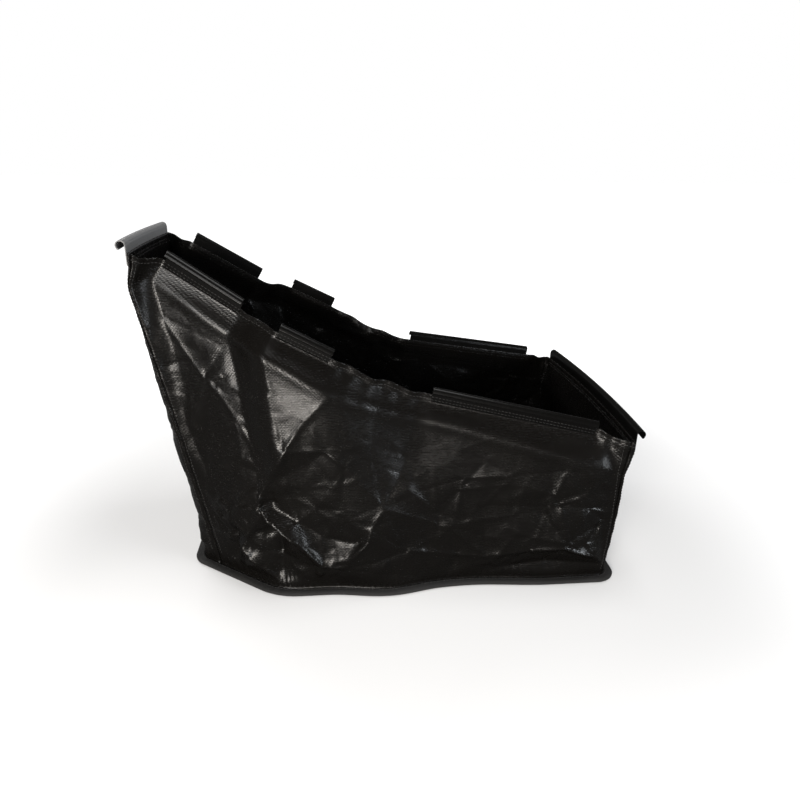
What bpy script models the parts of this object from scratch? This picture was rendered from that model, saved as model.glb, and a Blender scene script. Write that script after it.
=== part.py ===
"""Leaf collector basket: a sewn, open-topped cloth catcher with eight clip strips round its mouth.

Metres, +Z up. X runs along the basket with the tall narrow end at -X, Y runs across it with the
front at -Y, and the origin lies on the ground under the middle of the outer box.
"""

import math
from collections import namedtuple

import bpy
import numpy as np

# Cloth, and the clearances left where sewn pieces meet
CLOTH = 0.0008
TOUCH_GAP = 0.0003
SEAM_GAP = 0.0004

# Clip section: a hook that goes over the machine's frame wire, and a flange sewn to the cloth
WIRE_BORE = 0.0094
CLIP_WALL = 0.0013
END_LIP_ANGLE = math.radians(-60)
SIDE_LIP_ANGLE = math.radians(-14)
LIP_NOSE = 0.4
HOOK_STEP = math.radians(20)
BOW_STEPS = 10

# Ends of the wire's axis in each clip: x, half width, height
HIGH_CLIP_X = -0.323
HIGH_CLIP_HALF_WIDTH = 0.104
HIGH_CLIP_Z = 0.454
HIGH_CLIP_BOW = 0.004
LOW_CLIP_X = 0.319
LOW_CLIP_HALF_WIDTH = 0.182
LOW_CLIP_Z = 0.226
LOW_CLIP_BOW = 0.008
UPPER_CLIP_START = (-0.274, 0.091, 0.441)
UPPER_CLIP_END = (-0.185, 0.109, 0.385)
MIDDLE_CLIP_START = (-0.138, 0.143, 0.362)
MIDDLE_CLIP_END = (-0.075, 0.148, 0.330)
LOWER_CLIP_START = (0.052, 0.138, 0.275)
LOWER_CLIP_END = (0.264, 0.171, 0.236)

# How far below the wire's axis the cloth's edge and the flange's foot lie. The cloth runs up inside the
# flange, and turns outward a little below the foot.
END_EDGE_DROP = 0.009
END_FLANGE = 0.024
UPPER_EDGE_DROP = 0.010
UPPER_FLANGE = 0.018
MIDDLE_EDGE_DROP = 0.008
MIDDLE_FLANGE = 0.015
LOWER_EDGE_DROP = 0.007
LOWER_FLANGE = 0.016
FOOT_CLEAR = 0.0015
CLOTH_INSET = WIRE_BORE / 2 + CLIP_WALL + TOUCH_GAP

# Outline of the base, over the binding
BASE_HIGH_X = -0.283
BASE_HIGH_HALF_WIDTH = 0.093
BASE_HIGH_CORNER_R = 0.034
BASE_SHOULDER_X = -0.157
BASE_SHOULDER_R = 0.090
BASE_HALF_WIDTH = 0.186
BASE_LOW_CORNER_R = 0.030
BASE_LOW_X = 0.319
CORNER_STEPS = 12

# Slow waves that the long sides of the base have from sewing: place along X, reach, how far out
Wave = namedtuple("Wave", "x reach out")
BASE_WAVES = [Wave(-0.010, 0.080, 0.008), Wave(0.110, 0.110, -0.007)]

# Binding: a tape folded over the floor's rim and the walls' turned-out lip
TAPE = 0.0016
BINDING_WIDTH = 0.012
LIP_INSET = 0.004
WALL_INSET = BINDING_WIDTH + TOUCH_GAP + CLOTH
WALL_RISE = 0.0026
TAPE_FOLD_R = 0.0026
FLOOR_FLAT_INSET = 0.026

# Walls
GAP_SAG = 0.001
GAP_PULL = 0.8
WALL_ROWS = 10
HIGH_SEAM = 1.25
LOW_SEAM = 7.75
CRUMPLE = 0.0050
CRUMPLE_FADE = 0.45
CRUMPLE_TOP = 0.87
CRUMPLE_LEAN = 0.8

# Waves whose sum makes the flat facets of a crumpled wall. Each runs over a mix of the way along the
# wall and the way up it, and is warped by a slower wave over one of the two.
Facet = namedtuple("Facet", "along up run warp warp_over warp_run share")
FACETS = [
    Facet(1.0, 0.0, 0.062, 0.55, "up", 0.045, 0.40),
    Facet(0.5, 1.0, 0.055, 0.50, "along", 0.050, 0.35),
    Facet(-0.9, 1.0, 0.083, 0.40, "up", 0.030, 0.45),
]

# Short steps over which a direction is measured: a share of the base's outline, a share of a clip, and
# places along the wall. No column comes closer to a seam than the last.
OUTLINE_STEP = 0.004
CLIP_STEP = 0.01
PLACE_STEP = 0.02
SEAM_CLEAR = 0.04

# Edges that turn by more than this stay sharp
SHARP_ANGLE = math.radians(35)

Clip = namedtuple("Clip", "start end lip bow edge_drop flange")
HIGH_CLIP = Clip((HIGH_CLIP_X, -HIGH_CLIP_HALF_WIDTH, HIGH_CLIP_Z),
                 (HIGH_CLIP_X, HIGH_CLIP_HALF_WIDTH, HIGH_CLIP_Z),
                 END_LIP_ANGLE, HIGH_CLIP_BOW, END_EDGE_DROP, END_FLANGE)
LOW_CLIP = Clip((LOW_CLIP_X, -LOW_CLIP_HALF_WIDTH, LOW_CLIP_Z),
                (LOW_CLIP_X, LOW_CLIP_HALF_WIDTH, LOW_CLIP_Z),
                END_LIP_ANGLE, LOW_CLIP_BOW, END_EDGE_DROP, END_FLANGE)


def side_clip(start, end, edge_drop, flange):
    """A straight clip on the front side, from its ends with their half widths."""
    ends = [(x, -half_width, z) for x, half_width, z in (start, end)]
    return Clip(*ends, SIDE_LIP_ANGLE, 0.0, edge_drop, flange)


SIDE_CLIPS = {
    "upper": side_clip(UPPER_CLIP_START, UPPER_CLIP_END, UPPER_EDGE_DROP, UPPER_FLANGE),
    "middle": side_clip(MIDDLE_CLIP_START, MIDDLE_CLIP_END, MIDDLE_EDGE_DROP, MIDDLE_FLANGE),
    "lower": side_clip(LOWER_CLIP_START, LOWER_CLIP_END, LOWER_EDGE_DROP, LOWER_FLANGE),
}

# Sections of the front half wall, from the middle of the high end to the middle of the low end. Each
# has its place along the base's half outline, how far the crest lies out from the wire's axis and
# below it, and how far the wall swells out at half its height. The odd ones end a clip, and the wall
# hangs free from each to the next even one.
Section = namedtuple("Section", "foot_share crest_out crest_drop belly")
SECTIONS = [
    Section(0.000, -0.003, 0.055, 0.001),
    Section(0.125, -0.002, 0.049, -0.002),
    Section(0.208, 0.000, 0.039, 0.002),
    Section(0.280, 0.004, 0.043, 0.004),
    Section(0.318, 0.010, 0.041, 0.005),
    Section(0.380, 0.013, 0.046, 0.006),
    Section(0.509, 0.006, 0.039, 0.006),
    Section(0.741, 0.010, 0.050, 0.003),
    Section(0.815, -0.015, 0.059, 0.002),
    Section(1.000, -0.012, 0.061, 0.002),
]
SPAN_COLUMNS = {"high_end": 5, "high_corner": 4, "upper": 4, "upper_gap": 4, "middle": 3,
                "middle_gap": 7, "lower": 9, "low_corner": 4, "low_end": 7}

# Creases that stand out on the front wall: two ends as x and height, half width, height of the ridge
Crease = namedtuple("Crease", "start end reach rise")
FRONT_CREASES = [
    Crease((-0.089, 0.282), (-0.156, 0.178), 0.028, 0.013),
    Crease((-0.156, 0.178), (-0.168, 0.125), 0.026, 0.013),
    Crease((-0.168, 0.125), (-0.099, 0.044), 0.026, 0.014),
    Crease((-0.206, 0.102), (-0.150, 0.030), 0.026, 0.012),
    Crease((-0.230, 0.129), (-0.168, 0.128), 0.022, 0.007),
    Crease((-0.014, 0.126), (-0.065, 0.036), 0.026, 0.012),
    Crease((0.135, 0.045), (0.276, 0.050), 0.024, 0.011),
    Crease((0.190, 0.216), (0.245, 0.098), 0.022, 0.008),
    Crease((0.266, 0.150), (0.225, 0.190), 0.022, 0.006),
]
BACK_CREASES = [
    Crease((-0.120, 0.250), (-0.060, 0.120), 0.028, 0.012),
    Crease((-0.060, 0.120), (-0.120, 0.040), 0.024, 0.008),
    Crease((0.030, 0.190), (0.110, 0.110), 0.028, 0.012),
    Crease((0.110, 0.110), (0.090, 0.040), 0.024, 0.008),
    Crease((0.180, 0.180), (0.250, 0.090), 0.026, 0.012),
    Crease((-0.230, 0.260), (-0.190, 0.130), 0.024, 0.008),
]


def clear_scene():
    for old in list(bpy.data.objects):
        bpy.data.objects.remove(old, do_unlink=True)


def material(name, colour, roughness):
    result = bpy.data.materials.new(name)
    result.use_nodes = True
    shader = result.node_tree.nodes["Principled BSDF"]
    shader.inputs["Base Color"].default_value = (*colour, 1.0)
    shader.inputs["Roughness"].default_value = roughness
    result.diffuse_color = (*colour, 1.0)
    return result


def unit(vector):
    return vector / np.linalg.norm(vector)


def smooth(value):
    """Eases from 0 to 1."""
    value = np.clip(value, 0.0, 1.0)
    return value * value * (3.0 - 2.0 * value)


def mesh_object(name, vertices, faces, surface):
    mesh = bpy.data.meshes.new(name)
    mesh.from_pydata([tuple(vertex) for vertex in vertices], [], faces)
    mesh.validate()
    mesh.materials.append(surface)
    mesh.shade_smooth()
    mesh.set_sharp_from_angle(angle=SHARP_ANGLE)
    result = bpy.data.objects.new(name, mesh)
    bpy.context.scene.collection.objects.link(result)
    return result


# Clips

def clip_outward(strip):
    """Level direction from the basket's inside to its outside, square to the clip."""
    along = unit(np.array(strip.end) - np.array(strip.start))
    across = unit(np.array((along[1], -along[0], 0.0)))
    middle = (np.array(strip.start) + np.array(strip.end)) / 2
    return across if np.dot(across[:2], middle[:2]) > 0 else -across


def clip_axis(strip, share):
    """A point on the wire's axis, with the clip's bow."""
    start, end = np.array(strip.start), np.array(strip.end)
    return start + (end - start) * share + clip_outward(strip) * strip.bow * 4 * share * (1 - share)


def clip_down(strip):
    """Direction from the wire to the flange's foot, square to the clip."""
    along = unit(np.array(strip.end) - np.array(strip.start))
    return unit(along * along[2] - np.array((0.0, 0.0, 1.0)))


def clip_section(strip):
    """Pairs of points across the wall, from the hook's lip to the foot of the flange: out, up."""
    middle_r = (WIRE_BORE + CLIP_WALL) / 2
    half = CLIP_WALL / 2
    wrap = math.pi - strip.lip
    steps = round(wrap / HOOK_STEP)
    pairs = []
    nose = strip.lip - half / middle_r
    pairs.append([((middle_r + side * half * LIP_NOSE) * math.cos(nose),
                   (middle_r + side * half * LIP_NOSE) * math.sin(nose)) for side in (1, -1)])
    for step in range(steps + 1):
        angle = strip.lip + wrap * step / steps
        pairs.append([((middle_r + side * half) * math.cos(angle),
                       (middle_r + side * half) * math.sin(angle)) for side in (1, -1)])
    pairs.append([(-middle_r - side * half, -strip.flange) for side in (1, -1)])
    return pairs


def clip(name, strip, surface):
    """Sweeps the section along the wire's axis."""
    steps = BOW_STEPS if strip.bow else 1
    pairs = clip_section(strip)
    outward = clip_outward(strip)
    vertices = []
    for step in range(steps + 1):
        share = step / steps
        here = clip_axis(strip, share)
        along = unit(clip_axis(strip, min(1, share + CLIP_STEP))
                     - clip_axis(strip, max(0, share - CLIP_STEP)))
        level = unit(outward - along * np.dot(outward, along))
        for pair in pairs:
            vertices += [here + level * out - clip_down(strip) * height for out, height in pair]
    ring = 2 * len(pairs)
    faces = []
    for step in range(steps):
        low, high = step * ring, (step + 1) * ring
        for i in range(len(pairs) - 1):
            a, b = 2 * i, 2 * i + 1
            faces.append((low + a, low + a + 2, high + a + 2, high + a))
            faces.append((low + b, high + b, high + b + 2, low + b + 2))
        last = ring - 2
        faces.append((low, high, high + 1, low + 1))
        faces.append((low + last, low + last + 1, high + last + 1, high + last))
    for base, flip in ((0, False), (steps * ring, True)):
        for i in range(len(pairs) - 1):
            quad = (base + 2 * i, base + 2 * i + 1, base + 2 * i + 3, base + 2 * i + 2)
            faces.append(quad[::-1] if flip else quad)
    result = mesh_object(name, vertices, faces, surface)
    face_outward(result)
    return result


def face_outward(item):
    """Turns every face of a closed mesh to the outside."""
    mesh = item.data
    volume = 0.0
    for face in mesh.polygons:
        corners = [mesh.vertices[i].co for i in face.vertices]
        for i in range(1, len(corners) - 1):
            volume += corners[0].dot(corners[i].cross(corners[i + 1]))
    if volume < 0:
        mesh.flip_normals()


# Base outline

def rounded_path(corners, radii):
    """A path through the corners, with an arc of the given radius at each inner one."""
    points = [np.array(corners[0])]
    for before, corner, after, radius in zip(corners, corners[1:], corners[2:], radii):
        corner = np.array(corner)
        back, ahead = unit(np.array(before) - corner), unit(np.array(after) - corner)
        half_angle = math.acos(float(np.dot(back, ahead))) / 2
        centre = corner + unit(back + ahead) * radius / math.sin(half_angle)
        first = corner + back * radius / math.tan(half_angle)
        turn = math.pi - 2 * half_angle
        for step in range(CORNER_STEPS + 1):
            spoke = first - centre
            angle = turn * step / CORNER_STEPS
            points.append(centre + np.array((spoke[0] * math.cos(angle) - spoke[1] * math.sin(angle),
                                             spoke[0] * math.sin(angle) + spoke[1] * math.cos(angle))))
    points.append(np.array(corners[-1]))
    return np.array(points)


HALF_OUTLINE = rounded_path(
    [(BASE_HIGH_X, 0.0), (BASE_HIGH_X, -BASE_HIGH_HALF_WIDTH), (BASE_SHOULDER_X, -BASE_HALF_WIDTH),
     (BASE_LOW_X, -BASE_HALF_WIDTH), (BASE_LOW_X, 0.0)],
    [BASE_HIGH_CORNER_R, BASE_SHOULDER_R, BASE_LOW_CORNER_R])
HALF_SHARES = np.concatenate(([0.0], np.cumsum(np.linalg.norm(np.diff(HALF_OUTLINE, axis=0), axis=1))))
HALF_LENGTH = HALF_SHARES[-1]
HALF_SHARES = HALF_SHARES / HALF_LENGTH


def outline_at(share):
    x = np.interp(share, HALF_SHARES, HALF_OUTLINE[:, 0])
    y = np.interp(share, HALF_SHARES, HALF_OUTLINE[:, 1])
    for wave in BASE_WAVES:
        away = abs(x - wave.x) / wave.reach
        if away < 1:
            y -= wave.out * math.cos(away * math.pi / 2) ** 2
    return np.array((x, y))


def outline_point(share, inset):
    """A point of the base's half outline, moved in from its edge."""
    ahead = outline_at(min(1.0, share + OUTLINE_STEP)) - outline_at(max(0.0, share - OUTLINE_STEP))
    outward = unit(np.array((ahead[1], -ahead[0])))
    if share in (0.0, 1.0):
        outward = np.array((-1.0 if share == 0.0 else 1.0, 0.0))
    return outline_at(share) - outward * inset


def outline_loop(inset):
    """The whole base outline, counterclockwise from the middle of the high end, with the walls' columns."""
    places = span_places(0, len(SPANS))
    half = [outline_point(section_value("foot_share", place), inset) for place in places]
    return half + [point * (1, -1) for point in half[-2:0:-1]]


# Walls

SPANS = list(SPAN_COLUMNS)
SPAN_CLIPS = {"high_end": HIGH_CLIP, "upper": SIDE_CLIPS["upper"], "middle": SIDE_CLIPS["middle"],
              "lower": SIDE_CLIPS["lower"], "low_end": LOW_CLIP}
Mouth = namedtuple("Mouth", "wire outward down edge_drop flange")


def wire_place(span, share):
    """The wire's axis in the front half's part of a clip."""
    if span == "high_end":
        share = 0.5 - share / 2
    if span == "low_end":
        share = share / 2
    return clip_axis(SPAN_CLIPS[span], share)


def mouth(place):
    """The wire's line round the front half of the mouth, the directions out of the basket and down the
    wall, and how far down the cloth's edge and the flange's foot lie."""
    index = min(int(place), len(SPANS) - 1)
    share = place - index
    span = SPANS[index]
    if span in SPAN_CLIPS:
        strip = SPAN_CLIPS[span]
        return Mouth(wire_place(span, share), clip_outward(strip), clip_down(strip), strip.edge_drop,
                     strip.flange)
    before, after = SPANS[index - 1], SPANS[index + 1]
    start, end = wire_place(before, 1.0), wire_place(after, 0.0)
    length = np.linalg.norm(end - start)
    start_pull = unit(start - wire_place(before, 1 - CLIP_STEP)) * length * GAP_PULL
    end_pull = unit(wire_place(after, CLIP_STEP) - end) * length * GAP_PULL
    a, b = 2 * share ** 3 - 3 * share ** 2 + 1, share ** 3 - 2 * share ** 2 + share
    c, d = -2 * share ** 3 + 3 * share ** 2, share ** 3 - share ** 2
    wire = start * a + start_pull * b + end * c + end_pull * d
    wire[2] -= GAP_SAG * math.sin(math.pi * share) ** 2
    turned = smooth(share)
    before, after = SPAN_CLIPS[before], SPAN_CLIPS[after]
    outward = unit(clip_outward(before) * (1 - turned) + clip_outward(after) * turned)
    down = unit(clip_down(before) * (1 - turned) + clip_down(after) * turned)
    edge_drop = before.edge_drop * (1 - turned) + after.edge_drop * turned
    flange = before.flange * (1 - turned) + after.flange * turned
    return Mouth(wire, outward, down, edge_drop, flange)


def section_value(field, place):
    """A section's value at a place between sections, eased from each to the next."""
    index = min(int(place), len(SECTIONS) - 2)
    share = place - index
    low, high = getattr(SECTIONS[index], field), getattr(SECTIONS[index + 1], field)
    return low + (high - low) * (share if field == "foot_share" else smooth(share))


def triangle_wave(value):
    return 2 * np.abs((value % 2) - 1) - 1


def crumple(along, height, seed):
    """Flat facets that meet in sharp creases, from warped triangle waves."""
    total = 0.0
    for number, facet in enumerate(FACETS, start=1):
        over = height if facet.warp_over == "up" else along
        warp = facet.warp * math.sin(over / facet.warp_run + number * seed)
        total += facet.share * triangle_wave((facet.along * along + facet.up * height) / facet.run + warp)
    return CRUMPLE * total


def crease_rise(creases, x, height):
    """The highest ridge of the named creases at a place on the wall."""
    rise = 0.0
    here = np.array((x, height))
    for crease in creases:
        start, end = np.array(crease.start), np.array(crease.end)
        share = np.clip(np.dot(here - start, end - start) / np.dot(end - start, end - start), 0, 1)
        away = np.linalg.norm(here - start - (end - start) * share)
        rise = max(rise, crease.rise * (1 - away / crease.reach))
    return rise


def wall_profile(place, side, seed, creases):
    """Outer face of the wall from the turned-out lip to the mouth. side is -1 in front, 1 at the back,
    and 0 gives the plain wall without its crumples."""
    foot_share = section_value("foot_share", place)
    wire, outward, down, edge_drop, flange = mouth(place)
    inner = wire - outward * CLOTH_INSET
    lip_z = TAPE + 2 * (TOUCH_GAP + CLOTH)
    lip = np.array((*outline_point(foot_share, LIP_INSET), lip_z))
    turn = np.array((*outline_point(foot_share, BINDING_WIDTH + TOUCH_GAP), lip_z))
    rise = np.array((*outline_point(foot_share, WALL_INSET), lip_z + TAPE + WALL_RISE))
    crest = wire + outward * section_value("crest_out", place) + down * section_value("crest_drop", place)
    sewn = inner + down * (flange + FOOT_CLEAR)
    away_from_seam = min(abs(place - HIGH_SEAM), abs(place - LOW_SEAM))
    rows = [lip, turn, rise]
    for row in range(1, WALL_ROWS + 1):
        share = row / WALL_ROWS
        point = rise + (crest - rise) * share
        mask = math.sin(math.pi * min(1.0, share / CRUMPLE_TOP) ** CRUMPLE_LEAN)
        mask *= smooth(away_from_seam / CRUMPLE_FADE)
        swell = section_value("belly", place) * 4 * share * (1 - share)
        if side:
            swell += mask * crumple(foot_share * HALF_LENGTH * side, point[2], seed)
            swell += mask * crease_rise(creases, point[0], point[2])
        rows.append(point + outward * swell)
    return rows + [sewn, inner + down * edge_drop]


def span_places(first, last):
    """Places along the half wall that get a column: each section, each seam and steps between them."""
    seams = (HIGH_SEAM, LOW_SEAM)
    places = list(seams)
    for index, span in enumerate(SPANS):
        columns = SPAN_COLUMNS[span]
        steps = [index + step / columns for step in range(columns + 1)]
        places += [place for place in steps if min(abs(place - seam) for seam in seams) > SEAM_CLEAR]
    return sorted(set(round(place, 6) for place in places if first <= place <= last))


def mirrored(column):
    """A column's points or directions, on the other side of the middle plane."""
    return [point * (1, -1, 1) for point in column]


def seam_normals(place):
    """Directions out of the plain wall up a seam, the same for the two panels that meet in it."""
    steps = (-PLACE_STEP, 0, PLACE_STEP)
    before, here, after = [np.array(wall_profile(place + step, 0, 0, [])) for step in steps]
    normals = np.cross(after - before, np.gradient(here, axis=0))
    return normals / np.linalg.norm(normals, axis=1, keepdims=True)


def cloth_panel(name, columns, edge_normals, surface):
    """A closed sheet. Each column runs up the panel's outer face, and the columns run counterclockwise."""
    outer = np.array(columns)
    along = np.gradient(outer, axis=0)
    upward = np.gradient(outer, axis=1)
    normals = np.cross(along, upward)
    normals /= np.linalg.norm(normals, axis=2, keepdims=True)
    normals[0], normals[-1] = edge_normals
    inner = outer - normals * CLOTH
    count, rows = outer.shape[:2]
    vertices = np.concatenate((outer.reshape(-1, 3), inner.reshape(-1, 3)))
    back = count * rows
    faces = []
    for i in range(count - 1):
        for j in range(rows - 1):
            a, b = i * rows + j, (i + 1) * rows + j
            faces.append((a, b, b + 1, a + 1))
            faces.append((back + a, back + a + 1, back + b + 1, back + b))
    for i in range(count - 1):
        a, b = i * rows, (i + 1) * rows
        faces.append((a, back + a, back + b, b))
        top_a, top_b = a + rows - 1, b + rows - 1
        faces.append((top_a, top_b, back + top_b, back + top_a))
    for j in range(rows - 1):
        last = (count - 1) * rows + j
        faces.append((j, j + 1, back + j + 1, back + j))
        faces.append((last, back + last, back + last + 1, last + 1))
    result = mesh_object(name, vertices, faces, surface)
    face_outward(result)
    return result


def pull_apart(columns):
    """Draws a panel's two edge columns in by half the seam's clearance."""
    for edge, inside in ((0, 1), (-1, -2)):
        moved = []
        for here, beside in zip(columns[edge], columns[inside]):
            moved.append(here + unit(beside - here) * SEAM_GAP / 2)
        columns[edge] = moved
    return columns


def side_panel(name, side, seed, creases, surface):
    places = span_places(HIGH_SEAM, LOW_SEAM)
    columns = [wall_profile(place, side, seed, creases) for place in places]
    edges = [seam_normals(HIGH_SEAM), seam_normals(LOW_SEAM)]
    if side > 0:
        columns = [mirrored(column) for column in reversed(columns)]
        edges = [mirrored(edge) for edge in reversed(edges)]
    return cloth_panel(name, pull_apart(columns), edges, surface)


def end_panel(name, first, last, seed, surface):
    """An end panel, from the front half's places and their mirror images."""
    places = span_places(first, last)
    half = [wall_profile(place, -1, seed, []) for place in places]
    if first == 0:
        columns = [mirrored(column) for column in reversed(half)] + half[1:]
        edges = [mirrored(seam_normals(last)), seam_normals(last)]
    else:
        columns = half + [mirrored(column) for column in reversed(half[:-1])]
        edges = [seam_normals(first), mirrored(seam_normals(first))]
    return cloth_panel(name, pull_apart(columns), edges, surface)


# Base

def floor_panel(surface):
    """Lies flat on the ground inside, and steps up to its rim in the binding."""
    rim_z = TAPE + TOUCH_GAP
    rings = [(LIP_INSET, rim_z), (BINDING_WIDTH + TOUCH_GAP, rim_z), (FLOOR_FLAT_INSET, 0.0)]
    loops = [(np.array(outline_loop(inset)), z) for inset, z in rings]
    vertices = []
    for lift in (CLOTH, 0.0):
        for loop, z in loops:
            vertices += [(x, y, z + lift) for x, y in loop]
    count = len(loops[0][0])
    faces = []
    under = len(rings) * count
    for ring in range(len(rings) - 1):
        for i in range(count):
            j = (i + 1) % count
            a, b = ring * count, (ring + 1) * count
            faces.append((a + i, a + j, b + j, b + i))
            faces.append((under + a + i, under + b + i, under + b + j, under + a + j))
    for i in range(count):
        j = (i + 1) % count
        faces.append((i, under + i, under + j, j))
    middle = (len(rings) - 1) * count
    faces.append(tuple(middle + i for i in range(count)))
    faces.append(tuple(under + middle + i for i in reversed(range(count))))
    result = mesh_object("floor_panel", vertices, faces, surface)
    face_outward(result)
    return result


def base_binding(surface):
    """The tape's folded section swept round the base: inset from the outline, height."""
    hollow_top = TAPE + 3 * TOUCH_GAP + 2 * CLOTH
    top = hollow_top + TAPE
    middle = top / 2
    pairs = [
        ((BINDING_WIDTH, top), (BINDING_WIDTH, hollow_top)),
        ((TAPE_FOLD_R, top), (TAPE_FOLD_R, hollow_top)),
        ((0.0, middle), (TAPE, middle)),
        ((TAPE_FOLD_R, 0.0), (TAPE_FOLD_R, TAPE)),
        ((BINDING_WIDTH, 0.0), (BINDING_WIDTH, TAPE)),
    ]
    vertices = []
    for pair in pairs:
        for inset, z in pair:
            loop = outline_loop(inset)
            vertices += [(x, y, z) for x, y in loop]
    count = len(loop)
    faces = []
    for i in range(count):
        j = (i + 1) % count
        for row in range(len(pairs) - 1):
            outer, inner = 2 * row * count, (2 * row + 1) * count
            below_outer, below_inner = outer + 2 * count, inner + 2 * count
            faces.append((outer + i, below_outer + i, below_outer + j, outer + j))
            faces.append((inner + i, inner + j, below_inner + j, below_inner + i))
        faces.append((i, j, count + j, count + i))
        last = 2 * (len(pairs) - 1) * count
        faces.append((last + i, last + count + i, last + count + j, last + j))
    result = mesh_object("base_binding", vertices, faces, surface)
    face_outward(result)
    return result


def build():
    clear_scene()
    cloth = material("coated_cloth", (0.010, 0.010, 0.011), 0.42)
    plastic = material("clip_plastic", (0.016, 0.016, 0.017), 0.38)
    end_plastic = material("high_end_clip_plastic", (0.055, 0.056, 0.058), 0.45)
    tape = material("binding_tape", (0.008, 0.008, 0.008), 0.85)
    side_panel("side_panel_front", -1, 1.3, FRONT_CREASES, cloth)
    side_panel("side_panel_back", 1, 4.1, BACK_CREASES, cloth)
    end_panel("end_panel_high", 0, HIGH_SEAM, 2.2, cloth)
    end_panel("end_panel_low", LOW_SEAM, len(SECTIONS) - 1, 0.6, cloth)
    floor_panel(cloth)
    base_binding(tape)
    clip("clip_high_end", HIGH_CLIP, end_plastic)
    clip("clip_low_end", LOW_CLIP, plastic)
    for name, strip in SIDE_CLIPS.items():
        clip("clip_front_" + name, strip, plastic)
        back = strip._replace(start=tuple(np.array(strip.start) * (1, -1, 1)),
                              end=tuple(np.array(strip.end) * (1, -1, 1)))
        clip("clip_back_" + name, back, plastic)


build()
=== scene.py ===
"""Looks of the leaf collector basket: creased coated cloth, hooked clip strips and a taped base.

Metres, +Z up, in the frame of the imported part: the tall narrow end is at -X and the front at -Y.
"""

import math
from collections import namedtuple

import bmesh
import bpy
import numpy as np
from mathutils import Matrix, Vector
from mathutils.geometry import delaunay_2d_cdt

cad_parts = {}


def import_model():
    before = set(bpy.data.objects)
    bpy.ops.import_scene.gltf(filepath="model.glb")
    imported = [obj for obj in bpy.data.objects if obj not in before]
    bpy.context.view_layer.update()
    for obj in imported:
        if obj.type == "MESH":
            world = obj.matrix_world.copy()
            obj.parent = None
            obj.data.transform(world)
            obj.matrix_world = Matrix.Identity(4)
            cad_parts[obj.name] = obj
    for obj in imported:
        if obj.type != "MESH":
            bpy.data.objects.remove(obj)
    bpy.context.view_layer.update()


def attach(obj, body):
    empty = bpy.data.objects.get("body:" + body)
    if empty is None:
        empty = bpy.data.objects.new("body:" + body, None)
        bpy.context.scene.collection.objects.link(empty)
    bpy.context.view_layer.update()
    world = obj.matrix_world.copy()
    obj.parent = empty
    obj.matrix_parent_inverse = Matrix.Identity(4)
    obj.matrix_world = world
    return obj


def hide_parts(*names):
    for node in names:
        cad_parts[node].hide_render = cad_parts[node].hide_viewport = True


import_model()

BODY = "root"

# Cloth, clip and base sizes, as in the part's source
CLOTH = 0.0008
TOUCH_GAP = 0.0003
WIRE_BORE = 0.0094
CLIP_WALL = 0.0013
END_LIP_ANGLE = math.radians(-60)
SIDE_LIP_ANGLE = math.radians(-14)
FOOT_CLEAR = 0.0015
CLOTH_INSET = WIRE_BORE / 2 + CLIP_WALL + TOUCH_GAP
TAPE = 0.0016
BINDING_WIDTH = 0.012
LIP_INSET = 0.004
WALL_INSET = BINDING_WIDTH + TOUCH_GAP + CLOTH
WALL_RISE = 0.0026
FLOOR_FLAT_INSET = 0.026
GAP_SAG = 0.001
GAP_PULL = 0.8
HIGH_SEAM = 1.25
LOW_SEAM = 7.75

# Clips: ends of the wire's axis as x, y and height, the hook's lip, the bow outward, and how far below the
# axis the cloth's edge and the flange's foot lie. The side clips are the front's.
Clip = namedtuple("Clip", "start end lip bow edge_drop flange")
HIGH_CLIP = Clip((-0.323, -0.104, 0.454), (-0.323, 0.104, 0.454), END_LIP_ANGLE, 0.004, 0.009, 0.024)
LOW_CLIP = Clip((0.319, -0.182, 0.226), (0.319, 0.182, 0.226), END_LIP_ANGLE, 0.008, 0.009, 0.024)
SIDE_CLIPS = {
    "upper": Clip((-0.274, -0.091, 0.441), (-0.185, -0.109, 0.385), SIDE_LIP_ANGLE, 0.0, 0.010, 0.018),
    "middle": Clip((-0.138, -0.143, 0.362), (-0.075, -0.148, 0.330), SIDE_LIP_ANGLE, 0.0, 0.008, 0.015),
    "lower": Clip((0.052, -0.138, 0.275), (0.264, -0.171, 0.236), SIDE_LIP_ANGLE, 0.0, 0.007, 0.016),
}

# Outline of the base, over the binding, and the slow waves that sewing gave its long sides
BASE_HIGH_X = -0.283
BASE_HIGH_HALF_WIDTH = 0.093
BASE_HIGH_CORNER_R = 0.034
BASE_SHOULDER_X = -0.157
BASE_SHOULDER_R = 0.090
BASE_HALF_WIDTH = 0.186
BASE_LOW_CORNER_R = 0.030
BASE_LOW_X = 0.319
Wave = namedtuple("Wave", "x reach out")
BASE_WAVES = [Wave(-0.010, 0.080, 0.008), Wave(0.110, 0.110, -0.007)]

# Sections of the front half wall: place along the base's half outline, how far the crest lies out from
# the wire's axis and below it, and the swell at half height
Section = namedtuple("Section", "foot_share crest_out crest_drop belly")
SECTIONS = [
    Section(0.000, -0.003, 0.055, 0.001),
    Section(0.125, -0.002, 0.049, -0.002),
    Section(0.208, 0.000, 0.039, 0.002),
    Section(0.280, 0.004, 0.043, 0.004),
    Section(0.318, 0.010, 0.041, 0.005),
    Section(0.380, 0.013, 0.046, 0.006),
    Section(0.509, 0.006, 0.039, 0.006),
    Section(0.741, 0.010, 0.050, 0.003),
    Section(0.815, -0.015, 0.059, 0.002),
    Section(1.000, -0.012, 0.061, 0.002),
]
SPANS = ["high_end", "high_corner", "upper", "upper_gap", "middle", "middle_gap", "lower",
         "low_corner", "low_end"]

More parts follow.
